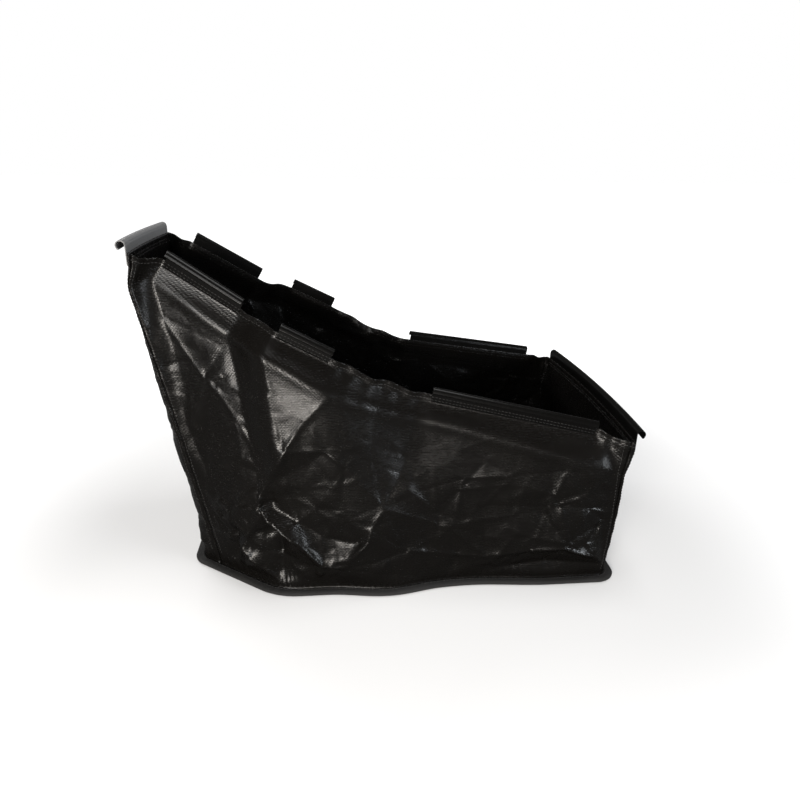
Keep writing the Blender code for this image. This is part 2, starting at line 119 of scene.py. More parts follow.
# The fine mesh of the cloth
COLUMN_STEP = 0.00235
ROUGH_PLACES = 1801
ROUGH_STRIDE = 6
ARC_STEPS = 24
WALL_ROWS = 130
BAND_ROWS = 14
SLEEVE_ROWS = 7
FIRST_WALL_ROW = 2
CREST_ROW = FIRST_WALL_ROW + WALL_ROWS - 1
SEWN_ROW = CREST_ROW + BAND_ROWS
CREST_ROUNDING = 2.3
HEM = 0.0075

# Creases of the walls, each a line of spots: x on the sides or y on the ends, height, and how far out in
# millimetres
FRONT_CREASES = [
    [(-0.076, 0.284, 4), (-0.111, 0.250, 7), (-0.139, 0.209, 9), (-0.157, 0.164, 9), (-0.173, 0.123, 8)],
    [(-0.168, 0.122, 8), (-0.148, 0.103, 8), (-0.122, 0.077, 9), (-0.096, 0.046, 8), (-0.064, 0.038, 4)],
    [(-0.159, 0.124, 0), (-0.151, 0.097, -3), (-0.150, 0.056, -4), (-0.151, 0.017, -2)],
    [(-0.179, 0.123, 7), (-0.210, 0.122, 6), (-0.232, 0.121, 3)],
    [(-0.229, 0.094, 3), (-0.205, 0.100, 6), (-0.187, 0.084, 6), (-0.193, 0.063, 5), (-0.175, 0.042, 6),
     (-0.152, 0.010, 2)],
    [(-0.209, 0.074, -3), (-0.213, 0.025, -2)],
    [(-0.139, 0.175, 1), (-0.121, 0.154, -1), (-0.103, 0.127, -2), (-0.070, 0.126, 0)],
    [(-0.158, 0.134, -1), (-0.128, 0.107, -2), (-0.090, 0.082, -2), (-0.050, 0.075, -1)],
    [(-0.014, 0.126, 4), (-0.030, 0.099, 6), (-0.036, 0.079, 6), (-0.058, 0.053, 4)],
    [(-0.102, 0.038, 5), (-0.092, 0.010, 2)],
    [(-0.255, 0.310, 0), (-0.240, 0.290, 1), (-0.228, 0.280, 1), (-0.213, 0.292, 1), (-0.174, 0.300, 0)],
    [(-0.199, 0.240, 1), (-0.181, 0.264, 3), (-0.151, 0.282, 2)],
    [(-0.088, 0.209, 1), (-0.063, 0.187, 2)],
    [(0.129, 0.043, 3), (0.190, 0.056, 7), (0.234, 0.061, 8), (0.279, 0.044, 5), (0.300, 0.024, 1)],
    [(0.150, 0.022, -2), (0.210, 0.030, -4), (0.262, 0.028, -3)],
    [(0.268, 0.202, 3), (0.228, 0.174, 3), (0.209, 0.121, 2)],
    [(0.278, 0.175, 4), (0.251, 0.129, 4), (0.266, 0.066, 2)],
    [(0.274, 0.160, 1), (0.287, 0.097, -2), (0.298, 0.036, -1)],
    [(0.020, 0.190, -2), (0.095, 0.160, 1), (0.160, 0.165, 0)],
    [(0.020, 0.060, 2), (0.080, 0.085, 0), (0.120, 0.120, -1)],
]
BACK_CREASES = [
    [(-0.120, 0.270, 3), (-0.095, 0.200, 7), (-0.060, 0.120, 7), (-0.120, 0.040, 3)],
    [(-0.070, 0.250, -2), (-0.030, 0.215, 5), (0.006, 0.225, 4)],
    [(0.030, 0.200, 3), (0.075, 0.150, 7), (0.110, 0.110, 6), (0.090, 0.035, 2)],
    [(0.180, 0.185, 4), (0.215, 0.140, 6), (0.255, 0.085, 5), (0.280, 0.035, 1)],
    [(0.240, 0.180, -2), (0.270, 0.130, 4), (0.285, 0.085, 0)],
    [(-0.240, 0.300, 1), (-0.225, 0.230, 5), (-0.195, 0.130, 6), (-0.205, 0.060, 2)],
    [(-0.060, 0.120, 5), (-0.010, 0.090, 4), (0.030, 0.045, 2)],
    [(-0.190, 0.340, 1), (-0.160, 0.290, 3), (-0.155, 0.230, 1)],
]
HIGH_END_CREASES = [
    [(-0.070, 0.380, 1), (-0.050, 0.300, 4), (-0.060, 0.200, 5), (-0.040, 0.100, 2)],
    [(0.020, 0.400, 0), (0.040, 0.310, 4), (0.020, 0.220, 4), (0.050, 0.120, 3)],
    [(-0.020, 0.160, -2), (0.000, 0.090, 3), (-0.030, 0.040, 1)],
]
LOW_END_CREASES = [
    [(-0.140, 0.150, 2), (-0.090, 0.120, 5), (-0.060, 0.060, 3)],
    [(0.010, 0.150, 0), (0.040, 0.100, 5), (0.020, 0.040, 2)],
    [(0.100, 0.160, 2), (0.120, 0.100, 5), (0.150, 0.045, 1)],
]


def unit(vector):
    return vector / np.linalg.norm(vector)


def smooth(value):
    """Eases from 0 to 1."""
    value = np.clip(value, 0.0, 1.0)
    return value * value * (3.0 - 2.0 * value)


# Shape of the basket

def clip_outward(strip):
    """Level direction from the basket's inside to its outside, square to the clip."""
    along = unit(np.array(strip.end) - np.array(strip.start))
    across = unit(np.array((along[1], -along[0], 0.0)))
    middle = (np.array(strip.start) + np.array(strip.end)) / 2
    return across if np.dot(across[:2], middle[:2]) > 0 else -across


def clip_axis(strip, share):
    """A point on the wire's axis, with the clip's bow."""
    start, end = np.array(strip.start), np.array(strip.end)
    return start + (end - start) * share + clip_outward(strip) * strip.bow * 4 * share * (1 - share)


def clip_down(strip):
    """Direction from the wire to the flange's foot, square to the clip."""
    along = unit(np.array(strip.end) - np.array(strip.start))
    return unit(along * along[2] - np.array((0.0, 0.0, 1.0)))


def rounded_path(corners, radii):
    """A path through the corners, with an arc of the given radius at each inner one."""
    points = [np.array(corners[0])]
    for before, corner, after, radius in zip(corners, corners[1:], corners[2:], radii):
        corner = np.array(corner)
        back, ahead = unit(np.array(before) - corner), unit(np.array(after) - corner)
        half_angle = math.acos(float(np.dot(back, ahead))) / 2
        centre = corner + unit(back + ahead) * radius / math.sin(half_angle)
        spoke = corner + back * radius / math.tan(half_angle) - centre
        turn = math.pi - 2 * half_angle
        for step in range(ARC_STEPS + 1):
            angle = turn * step / ARC_STEPS
            points.append(centre + np.array((spoke[0] * math.cos(angle) - spoke[1] * math.sin(angle),
                                             spoke[0] * math.sin(angle) + spoke[1] * math.cos(angle))))
    points.append(np.array(corners[-1]))
    return np.array(points)


HALF_OUTLINE = rounded_path(
    [(BASE_HIGH_X, 0.0), (BASE_HIGH_X, -BASE_HIGH_HALF_WIDTH), (BASE_SHOULDER_X, -BASE_HALF_WIDTH),
     (BASE_LOW_X, -BASE_HALF_WIDTH), (BASE_LOW_X, 0.0)],
    [BASE_HIGH_CORNER_R, BASE_SHOULDER_R, BASE_LOW_CORNER_R])
HALF_SHARES = np.concatenate(([0.0], np.cumsum(np.linalg.norm(np.diff(HALF_OUTLINE, axis=0), axis=1))))
HALF_LENGTH = HALF_SHARES[-1]
HALF_SHARES = HALF_SHARES / HALF_LENGTH
OUTLINE_NEAR = 0.004


def outline_at(share):
    x = np.interp(share, HALF_SHARES, HALF_OUTLINE[:, 0])
    y = np.interp(share, HALF_SHARES, HALF_OUTLINE[:, 1])
    for wave in BASE_WAVES:
        away = abs(x - wave.x) / wave.reach
        if away < 1:
            y -= wave.out * math.cos(away * math.pi / 2) ** 2
    return np.array((x, y))


def outline_point(share, inset):
    """A point of the base's half outline, moved in from its edge."""
    ahead = outline_at(min(1.0, share + OUTLINE_NEAR)) - outline_at(max(0.0, share - OUTLINE_NEAR))
    outward = unit(np.array((ahead[1], -ahead[0])))
    if share in (0.0, 1.0):
        outward = np.array((-1.0 if share == 0.0 else 1.0, 0.0))
    return outline_at(share) - outward * inset


SPAN_CLIPS = {"high_end": HIGH_CLIP, "upper": SIDE_CLIPS["upper"], "middle": SIDE_CLIPS["middle"],
              "lower": SIDE_CLIPS["lower"], "low_end": LOW_CLIP}
Mouth = namedtuple("Mouth", "wire outward down edge_drop flange")
CLIP_STEP = 0.01


def wire_place(span, share):
    """The wire's axis in the front half's part of a clip."""
    if span == "high_end":
        share = 0.5 - share / 2
    if span == "low_end":
        share = share / 2
    return clip_axis(SPAN_CLIPS[span], share)


def mouth(place):
    """The wire's line round the front half of the mouth, the directions out of the basket and down the
    wall, and how far down the cloth's edge and the flange's foot lie."""
    index = min(int(place), len(SPANS) - 1)
    share = place - index
    span = SPANS[index]
    if span in SPAN_CLIPS:
        strip = SPAN_CLIPS[span]
        return Mouth(wire_place(span, share), clip_outward(strip), clip_down(strip), strip.edge_drop,
                     strip.flange)
    before, after = SPANS[index - 1], SPANS[index + 1]
    start, end = wire_place(before, 1.0), wire_place(after, 0.0)
    length = np.linalg.norm(end - start)
    start_pull = unit(start - wire_place(before, 1 - CLIP_STEP)) * length * GAP_PULL
    end_pull = unit(wire_place(after, CLIP_STEP) - end) * length * GAP_PULL
    a, b = 2 * share ** 3 - 3 * share ** 2 + 1, share ** 3 - 2 * share ** 2 + share
    c, d = -2 * share ** 3 + 3 * share ** 2, share ** 3 - share ** 2
    wire = start * a + start_pull * b + end * c + end_pull * d
    wire[2] -= GAP_SAG * math.sin(math.pi * share) ** 2
    turned = smooth(share)
    before, after = SPAN_CLIPS[before], SPAN_CLIPS[after]
    outward = unit(clip_outward(before) * (1 - turned) + clip_outward(after) * turned)
    down = unit(clip_down(before) * (1 - turned) + clip_down(after) * turned)
    edge_drop = before.edge_drop * (1 - turned) + after.edge_drop * turned
    flange = before.flange * (1 - turned) + after.flange * turned
    return Mouth(wire, outward, down, edge_drop, flange)


def section_value(field, place):
    """A section's value at a place between sections, eased from each to the next."""
    index = min(int(place), len(SECTIONS) - 2)
    share = place - index
    low, high = getattr(SECTIONS[index], field), getattr(SECTIONS[index + 1], field)
    return low + (high - low) * (share if field == "foot_share" else smooth(share))


def wall_column(place):
    """Outer face of the plain wall from its lip in the binding to the mouth."""
    foot_share = section_value("foot_share", place)
    wire, outward, down, edge_drop, flange = mouth(place)
    inner = wire - outward * CLOTH_INSET
    lip_z = TAPE + 2 * (TOUCH_GAP + CLOTH)
    lip = np.array((*outline_point(foot_share, LIP_INSET), lip_z))
    turn = np.array((*outline_point(foot_share, BINDING_WIDTH + TOUCH_GAP), lip_z))
    rise = np.array((*outline_point(foot_share, WALL_INSET), lip_z + TAPE + WALL_RISE))
    crest = wire + outward * section_value("crest_out", place) + down * section_value("crest_drop", place)
    sewn, edge = inner + down * (flange + FOOT_CLEAR), inner + down * edge_drop
    share = np.linspace(0, 1, WALL_ROWS)[:, None]
    swell = section_value("belly", place) * 4 * share * (1 - share)
    wall = rise + (crest - rise) * share + outward * swell
    band = crest + (sewn - crest) * np.linspace(0, 1, BAND_ROWS + 1)[1:, None]
    sleeve = sewn + (edge - sewn) * np.linspace(0, 1, SLEEVE_ROWS + 1)[1:, None]
    return round_crest(np.concatenate(([lip, turn], wall, band, sleeve)))


def bell(steps, reach):
    """Weights of a soft average."""
    weights = np.exp(-0.5 * (np.arange(-reach, reach + 1) / steps) ** 2)
    return weights / weights.sum()


def round_crest(column):
    """Rounds the fold between wall and band, and leaves the rest as it is."""
    reach = math.ceil(3 * CREST_ROUNDING)
    weights = bell(CREST_ROUNDING, reach)
    soft = np.array([np.convolve(column[:, axis], weights, "same") for axis in range(3)]).T
    near = np.abs(np.arange(len(column)) - CREST_ROW)
    share = smooth((BAND_ROWS - 1 - near) / reach)[:, None]
    return column * (1 - share) + soft * share


def even_places():
    """Places along the front half, a column's step apart at half height."""
    rough = np.linspace(0, len(SPANS), ROUGH_PLACES)[::ROUGH_STRIDE]
    middles = np.array([wall_column(place)[WALL_ROWS // 2] for place in rough])
    lengths = np.concatenate(([0], np.cumsum(np.linalg.norm(np.diff(middles, axis=0), axis=1))))
    count = round(lengths[-1] / COLUMN_STEP)
    places = np.interp(np.linspace(0, lengths[-1], count), lengths, rough)
    for seam in (HIGH_SEAM, LOW_SEAM):
        places[np.argmin(np.abs(places - seam))] = seam
    return places


# Creases

MILLIMETRES = 1000
CREASE_EDGE = 0.52
LOOSE_EDGE = 0.0016
EDGE_REACH = 0.0036
EDGE_END = 0.12
EDGE_FADE = 0.5
EDGE_FAR = 5
SPOT_MARGIN = 0.03
SPOT_JITTER = 0.4
SPOT_CLEAR = 0.6
SPOT_RISE = 0.07
CRUMPLE_JITTER = 0.45
CREASE_BLUR = 0.6
CRUMPLE_BLUR = 0.4
CREASE_SPREAD = 0.062
QUIET_STRENGTH = 0.42
CREASE_BASE = 0.75
CREASE_GAIN = 0.60
Grain = namedtuple("Grain", "spread rise edge")
MIDDLE_GRAIN = Grain(0.036, 0.0044, 0.0022)
SMALL_GRAIN = Grain(0.014, 0.0014, 0.0)
SMALLEST = 1e-6


def facet_field(across, up, spots, lines):
    """Height of a folded sheet at each point, flat between the spots and folded along the lines, and the
    folds' own lines."""
    flat = [Vector((spot[0], spot[1])) for spot in spots]
    verts, edges, faces, origins, _, _ = delaunay_2d_cdt(flat, lines, [], 0, SMALLEST)
    heights = []
    for vert, origin in zip(verts, origins):
        if origin:
            heights.append(spots[origin[0]][2])
            continue
        near = min(spots, key=lambda spot: (spot[0] - vert[0]) ** 2 + (spot[1] - vert[1]) ** 2)
        heights.append(near[2])
    result = np.zeros(across.shape)
    for face in faces:
        a, b, c = (np.array(verts[i]) for i in face)
        area = (b[0] - a[0]) * (c[1] - a[1]) - (c[0] - a[0]) * (b[1] - a[1])
        if abs(area) < SMALLEST ** 2:
            continue
        share_b = ((across - a[0]) * (c[1] - a[1]) - (c[0] - a[0]) * (up - a[1])) / area
        share_c = ((b[0] - a[0]) * (up - a[1]) - (across - a[0]) * (b[1] - a[1])) / area
        inside = (share_b >= -SMALLEST) & (share_c >= -SMALLEST) & (share_b + share_c <= 1 + SMALLEST)
        height = (heights[face[0]] * (1 - share_b - share_c) + heights[face[1]] * share_b
                  + heights[face[2]] * share_c)
        result[inside] = height[inside]
    return result, [(verts[a], verts[b]) for a, b in edges]


def ridges(across, up, lines, rises, reach):
    """Narrow ridges and valleys along lines, each fading towards its ends. The strongest wins."""
    result = np.zeros(across.shape)
    for (start, end), rise in zip(lines, rises):
        run = np.array((end[0] - start[0], end[1] - start[1]))
        middle, far = (start[0] + end[0]) / 2, np.linalg.norm(run) / 2 + EDGE_FAR * reach
        close = (np.abs(across - middle) < far) & (np.abs(up - (start[1] + end[1]) / 2) < far)
        x, z = across[close] - start[0], up[close] - start[1]
        share = np.clip((x * run[0] + z * run[1]) / run.dot(run), 0, 1)
        away = np.hypot(x - run[0] * share, z - run[1] * share)
        swell = np.sin(math.pi * (EDGE_END + (1 - 2 * EDGE_END) * share)) ** EDGE_FADE
        ridge = rise * np.exp(-away / reach) * swell
        before = result[close]
        result[close] = np.where(np.abs(ridge) > np.abs(before), ridge, before)
    return result


def named_creases(across, up, creases, spread, seed):
    """The named creases, with loose spots between them so that the facets stay small."""
    rng = np.random.default_rng(seed)
    spots, folds, drawn, rises = [], [], [], []
    for crease in creases:
        first = len(spots)
        spots += [(x, z, out / MILLIMETRES) for x, z, out in crease]
        folds += [(first + i, first + i + 1) for i in range(len(crease) - 1)]
        for here, ahead in zip(crease, crease[1:]):
            drawn.append((here, ahead))
            rises.append((here[2] + ahead[2]) / (2 * MILLIMETRES) * CREASE_EDGE)
    x = across.min() - SPOT_MARGIN
    while x < across.max() + SPOT_MARGIN:
        z = up.min() - SPOT_MARGIN
        while z < up.max() + SPOT_MARGIN:
            spot = (x + rng.uniform(-SPOT_JITTER, SPOT_JITTER) * spread,
                    z + rng.uniform(-SPOT_JITTER, SPOT_JITTER) * spread)
            clear = min((spot[0] - other[0]) ** 2 + (spot[1] - other[1]) ** 2 for other in spots)
            if clear > (SPOT_CLEAR * spread) ** 2:
                spots.append((*spot, rng.uniform(-1, 1) * spread * SPOT_RISE))
            z += spread
        x += spread
    height, edges = facet_field(across, up, spots, folds)
    faint = rng.uniform(-1, 1, len(edges)) * LOOSE_EDGE
    return (blur(height, CREASE_BLUR) + ridges(across, up, drawn, rises, EDGE_REACH)
            + ridges(across, up, edges, faint, EDGE_REACH))


def loose_crumple(across, up, grain, seed):
    """Small facets with no named creases, and the sharp edges between them."""
    spread, rise, edge = grain
    rng = np.random.default_rng(seed)
    spots = []
    for x in np.arange(across.min() - spread, across.max() + 2 * spread, spread):
        for z in np.arange(up.min() - spread, up.max() + 2 * spread, spread):
            spots.append((x + rng.uniform(-CRUMPLE_JITTER, CRUMPLE_JITTER) * spread,
                          z + rng.uniform(-CRUMPLE_JITTER, CRUMPLE_JITTER) * spread,
                          rng.uniform(-1, 1) * rise))
    height, edges = facet_field(across, up, spots, [])
    if edge:
        rises = rng.uniform(-1, 1, len(edges)) * edge
        height = height + ridges(across, up, edges, rises, EDGE_REACH)
    return height


def blur(field, steps):
    """A soft average over neighbouring columns and rows."""
    reach = max(2, math.ceil(3 * steps))
    for axis in (0, 1):
        padded = np.pad(field, [(reach, reach) if i == axis else (0, 0) for i in (0, 1)], mode="edge")
        field = np.apply_along_axis(lambda line: np.convolve(line, bell(steps, reach), "valid"), axis, padded)
    return field


def surface_normals(grid):
    normals = np.cross(np.gradient(grid, axis=0), np.gradient(grid, axis=1))
    return normals / np.maximum(np.linalg.norm(normals, axis=2, keepdims=True), SMALLEST ** 2)


# Crumpled spots of the walls: x on the sides or y on the ends, height, reach, strength
Crumple = namedtuple("Crumple", "x z reach strength")
FRONT_CRUMPLES = [
    Crumple(-0.200, 0.075, 0.085, 1.7), Crumple(0.255, 0.140, 0.085, 1.5), Crumple(0.215, 0.200, 0.040, 0.8),
    Crumple(-0.150, 0.340, 0.035, 0.6), Crumple(0.010, 0.250, 0.045, 0.6),
    Crumple(-0.090, 0.030, 0.040, 0.8), Crumple(0.240, 0.030, 0.050, 0.6),
]
BACK_CRUMPLES = [
    Crumple(-0.060, 0.270, 0.060, 1.8), Crumple(-0.010, 0.240, 0.050, 1.6), Crumple(0.230, 0.160, 0.060, 1.6),
    Crumple(-0.190, 0.080, 0.060, 0.9), Crumple(0.080, 0.060, 0.060, 0.7), Crumple(-0.160, 0.330, 0.040, 0.6),
]
END_CRUMPLES = [
    Crumple(-0.060, 0.100, 0.070, 0.7), Crumple(0.070, 0.120, 0.080, 0.8), Crumple(0.0, 0.320, 0.060, 0.5),
]


def crumple_strength(across, up, spots):
    strength = np.full(across.shape, QUIET_STRENGTH)
    for spot in spots:
        away = np.hypot(across - spot.x, up - spot.z) / spot.reach
        strength = np.maximum(strength, spot.strength * np.exp(-away ** 2))
    return strength


def fold_height(across, up, creases, crumples, seed):
    """All folds of a panel, from the long creases to the small crumples."""
    large = named_creases(across, up, creases, CREASE_SPREAD, seed)
    middle = blur(loose_crumple(across, up, MIDDLE_GRAIN, seed + 1), CRUMPLE_BLUR)
    small = blur(loose_crumple(across, up, SMALL_GRAIN, seed + 2), CRUMPLE_BLUR)
    strength = crumple_strength(across, up, crumples)
    return large * (CREASE_BASE + CREASE_GAIN * strength) + (middle + small) * strength


# Cloth panels

Panel = namedtuple("Panel", "name first last side creases crumples taut seed")


def half_wall():
    places = even_places()
    return places, np.array([wall_column(place) for place in places])


PLACES, HALF_WALL = half_wall()
HALF_NORMALS = surface_normals(HALF_WALL)


def gap_shares(places):
    """How far each column hangs free between two clips: 0 beside a clip, 1 in the middle of a gap."""
    index = places.astype(int)
    free = (index % 2 == 1) & (index < len(SPANS))
    return np.where(free, np.sin(math.pi * (places - index)), 0.0)


GAP_SHARES = gap_shares(PLACES)[:, None, None] * (1, 1, 1)


def mirrored(grid):
    """The same grid at the back, with its columns still running counterclockwise."""
    return grid[::-1] * (1, -1, 1)


def panel_part(panel, half):
    """A panel's part of a grid of the front half wall, columns counterclockwise and rows upward."""
    half = half[(PLACES >= panel.first - SMALLEST) & (PLACES <= panel.last + SMALLEST)]
    if panel.side == "front":
        return half
    if panel.side == "back":
        return mirrored(half)
    if panel.side == "high":
        return np.concatenate((mirrored(half), half[1:]))
    return np.concatenate((half, mirrored(half)[1:]))


def arc_lengths(grid, axis):
    steps = np.linalg.norm(np.diff(grid, axis=axis), axis=2)
    zero = np.zeros_like(np.take(steps, [0], axis=axis))
    return np.concatenate((zero, np.cumsum(steps, axis=axis)), axis=axis)


# How the folds fade out: above the foot, below the sewn edge, below and above the crest, and at the seams
FOOT_FROM = 0.014
FOOT_REACH = 0.024
SEWN_REACH = 0.024
FREE_REACH = 0.010
TAUT_REACH = 0.11
BAND_FROM = 0.012
BAND_REACH = 0.016
BAND_CALM = 0.5
FREE_SHARE = 0.7
SEAM_CALM = 0.020
SEAM_REACH = 0.006

# Small forms that sewing leaves: height, length of a wave, reach
CREST_RIDGE = 0.0022
CREST_REACH = 0.0110
CREST_END = 0.01
CREST_FADE = 0.07
PUCKER = 0.0006
PUCKER_WAVE = 0.0016
PUCKER_REACH = 0.010
PUCKER_FROM = 0.0145
RIPPLE = 0.0005
RIPPLE_WAVE = 0.0042
FLUTTER = 0.0030
FLUTTER_WAVES = (0.0083, 0.0037)
FLUTTER_SHARES = (0.6, 0.4)
FLUTTER_SHIFT = 1.3
FLUTTER_FADE = 0.7
FLUTTER_REACH = 0.020
EDGE_DIP = 0.0022
DIP_WAVE = 0.0085
DIP_SHIFT = 0.7
HEM_STEP = 0.0005
HEM_REACH = 0.0016
SEAM_GROOVE = 0.0016
GROOVE_REACH = 0.0020
LIP_ROWS = 3


def fold_panel(panel):
    """The panel's outer face with its creases, hem, puckers and seam grooves, and its UV lengths."""
    grid, normals = panel_part(panel, HALF_WALL), panel_part(panel, HALF_NORMALS)
    along, upward = arc_lengths(grid, 0), arc_lengths(grid, 1)
    length_here = along[:, WALL_ROWS // 2][:, None] + 0 * upward
    sides = panel.side in ("front", "back")
    across = grid[:, :, 0] if sides else grid[:, :, 1]
    free = panel_part(panel, GAP_SHARES)[:, 0, :1]
    from_edge = upward[:, -1:] - upward
    from_crest = upward - upward[:, CREST_ROW:CREST_ROW + 1]
    from_seam = np.minimum(length_here, length_here.max() - length_here)
    below_sewn = upward[:, SEWN_ROW:SEWN_ROW + 1] - upward + FREE_REACH * free
    foot = smooth((upward - FOOT_FROM) / FOOT_REACH)
    near_seam = smooth(from_seam / SEAM_REACH)

    height = fold_height(across, grid[:, :, 2], panel.creases, panel.crumples, panel.seed)
    height *= foot * smooth(below_sewn / SEWN_REACH) * smooth(from_seam / SEAM_CALM)
    height *= 1 - panel.taut * (1 - smooth(-from_crest / TAUT_REACH))
    height *= 1 - BAND_CALM * smooth((from_crest + BAND_FROM) / BAND_REACH) * (1 - FREE_SHARE * free)
    if sides:
        ends = smooth((from_seam - CREST_END) / CREST_FADE)
        height += CREST_RIDGE * np.exp(-(from_crest / CREST_REACH) ** 2) * ends
    pucker = np.sin(length_here / PUCKER_WAVE) * np.exp(-(upward - FOOT_FROM) / PUCKER_REACH)
    height += PUCKER * pucker * (upward > PUCKER_FROM) * near_seam
    height += RIPPLE * np.sin(upward / RIPPLE_WAVE) * np.exp(-from_seam / SEAM_REACH) * foot
    flutter = (np.sin(length_here / FLUTTER_WAVES[0]) * FLUTTER_SHARES[0]
               + np.sin(length_here / FLUTTER_WAVES[1] + FLUTTER_SHIFT) * FLUTTER_SHARES[1])
    near_edge = np.exp(-from_edge / FLUTTER_REACH) * near_seam
    height += FLUTTER * free ** FLUTTER_FADE * flutter * near_edge
    height -= HEM_STEP * smooth((HEM - from_edge) / HEM_REACH)
    height -= SEAM_GROOVE * np.exp(-(from_seam / GROOVE_REACH) ** 2) * foot
    height[:, :LIP_ROWS] = 0
    grid = grid + normals * height[:, :, None]
    grid[:, :, 2] -= EDGE_DIP * free * np.sin(length_here / DIP_WAVE + DIP_SHIFT) * near_edge
    return grid, length_here, upward


def grid_mesh(name, grid, u, v, closed=False):
    """A sheet from a grid of points, with lengths in metres as its UV map."""
    columns, rows = grid.shape[:2]
    steps = columns if closed else columns - 1
    index = np.arange(columns * rows).reshape(columns, rows)
    ahead = np.roll(index, -1, axis=0)
    quads = np.stack((index[:steps, :-1], ahead[:steps, :-1], ahead[:steps, 1:], index[:steps, 1:]), axis=2)
    mesh = bpy.data.meshes.new(name)
    mesh.from_pydata(grid.reshape(-1, 3), [], quads.reshape(-1, 4).tolist())
    uv = mesh.uv_layers.new(name="UVMap")
    corners = np.zeros(len(mesh.loops), dtype=np.int32)
    mesh.loops.foreach_get("vertex_index", corners)
    flat_u, flat_v = u.reshape(-1)[corners], v.reshape(-1)[corners]
    if closed:
        wrap = np.repeat(np.arange(steps) == steps - 1, (rows - 1) * 4)
        flat_u = np.where(wrap & (flat_u < u.max() / 2), flat_u + u.max() + COLUMN_STEP, flat_u)
    uv.data.foreach_set("uv", np.stack((flat_u, flat_v), axis=1).astype(np.float32).ravel())
    mesh.shade_smooth()
    return mesh


def new_piece(name, mesh, surface):
    mesh.materials.clear()
    mesh.materials.append(surface)
    piece = bpy.data.objects.new(name, mesh)
    bpy.context.scene.collection.objects.link(piece)
    return piece


def apply_modifiers(piece):
    """Keeps the piece as its modifiers show it."""
    graph = bpy.context.evaluated_depsgraph_get()
    mesh = bpy.data.meshes.new_from_object(piece.evaluated_get(graph), depsgraph=graph)
    piece.modifiers.clear()
    piece.data = mesh


def thicken(piece, thickness):
    """Gives a sheet its thickness on the inner side of its faces."""
    wall = piece.modifiers.new("thickness", "SOLIDIFY")
    wall.thickness = thickness
    wall.offset = -1.0
    wall.use_even_offset = False
    apply_modifiers(piece)


PANELS = [
    Panel("front_cloth", HIGH_SEAM, LOW_SEAM, "front", FRONT_CREASES, FRONT_CRUMPLES, 0.78, 11),
    Panel("back_cloth", HIGH_SEAM, LOW_SEAM, "back", BACK_CREASES, BACK_CRUMPLES, 0.35, 23),
    Panel("high_end_cloth", 0.0, HIGH_SEAM, "high", HIGH_END_CREASES, END_CRUMPLES, 0.2, 37),
    Panel("low_end_cloth", LOW_SEAM, float(len(SPANS)), "low", LOW_END_CREASES, END_CRUMPLES, 0.6, 41),
]
PANEL_NODES = {"front_cloth": "side_panel_front", "back_cloth": "side_panel_back",
               "high_end_cloth": "end_panel_high", "low_end_cloth": "end_panel_low"}


def cloth_panels(surface):
    grids = {}
    for panel in PANELS:
        grid, u, v = fold_panel(panel)
        grids[panel.name] = grid
        piece = new_piece(panel.name, grid_mesh(panel.name, grid, u, v), surface)
        thicken(piece, CLOTH)
        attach(piece, BODY)
        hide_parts(PANEL_NODES[panel.name])
    return grids


# Clips

HOOK_STEPS = 44
LIP_BEAD = 0.00035
BEAD_FROM_LIP = 0.0010
BEAD_REACH = 0.0009
HOOK_GROOVE = 0.00035
GROOVE_FROM_FLANGE = 0.0012
HOOK_GROOVE_REACH = 0.0006
LIP_ROUNDING = ((0.95, 0.3), (0.6, 0.75))
FLANGE_SHARES = (0.10, 0.22, 0.26, 0.5)
FOOT_ROUNDING = (0.004, 0.0008)
THIN_EDGE = 0.55
END_ROUNDING = (0.0, 0.0003, 0.0008)
BOW_STEP = 0.008
PLAIN_STEPS = 6
LEAST_STEPS = 12
SHARP_ANGLE = math.radians(32)


def clip_section(strip):
    """Pairs of points across the wall, from the hook's lip to the foot of the flange: out, up. The lip
    ends in a bead, and a groove runs where the hook meets the flange."""
    middle_r = (WIRE_BORE + CLIP_WALL) / 2
    half = CLIP_WALL / 2
    pairs = []
    for beyond, share in LIP_ROUNDING:
        angle = strip.lip - beyond * half / middle_r
        pairs.append([((middle_r + side * half * share) * math.cos(angle),
                       (middle_r + side * half * share) * math.sin(angle)) for side in (1, -1)])
    wrap = math.pi - strip.lip
    for step in range(HOOK_STEPS + 1):
        turned = wrap * step / HOOK_STEPS
        angle = strip.lip + turned
        from_lip, from_flange = turned * middle_r, (wrap - turned) * middle_r
        bead = LIP_BEAD * math.exp(-((from_lip - BEAD_FROM_LIP) / BEAD_REACH) ** 2)
        groove = HOOK_GROOVE * math.exp(-((from_flange - GROOVE_FROM_FLANGE) / HOOK_GROOVE_REACH) ** 2)
        outer, inner = middle_r + half + bead - groove, middle_r - half
        pairs.append([(r * math.cos(angle), r * math.sin(angle)) for r in (outer, inner)])
    foot = strip.flange
    for depth in [share * foot for share in FLANGE_SHARES] + [foot - short for short in FOOT_ROUNDING]:
        pairs.append([(-middle_r - side * half, -depth) for side in (1, -1)])
    pairs.append([(-middle_r - side * half * THIN_EDGE, -foot) for side in (1, -1)])
    return pairs


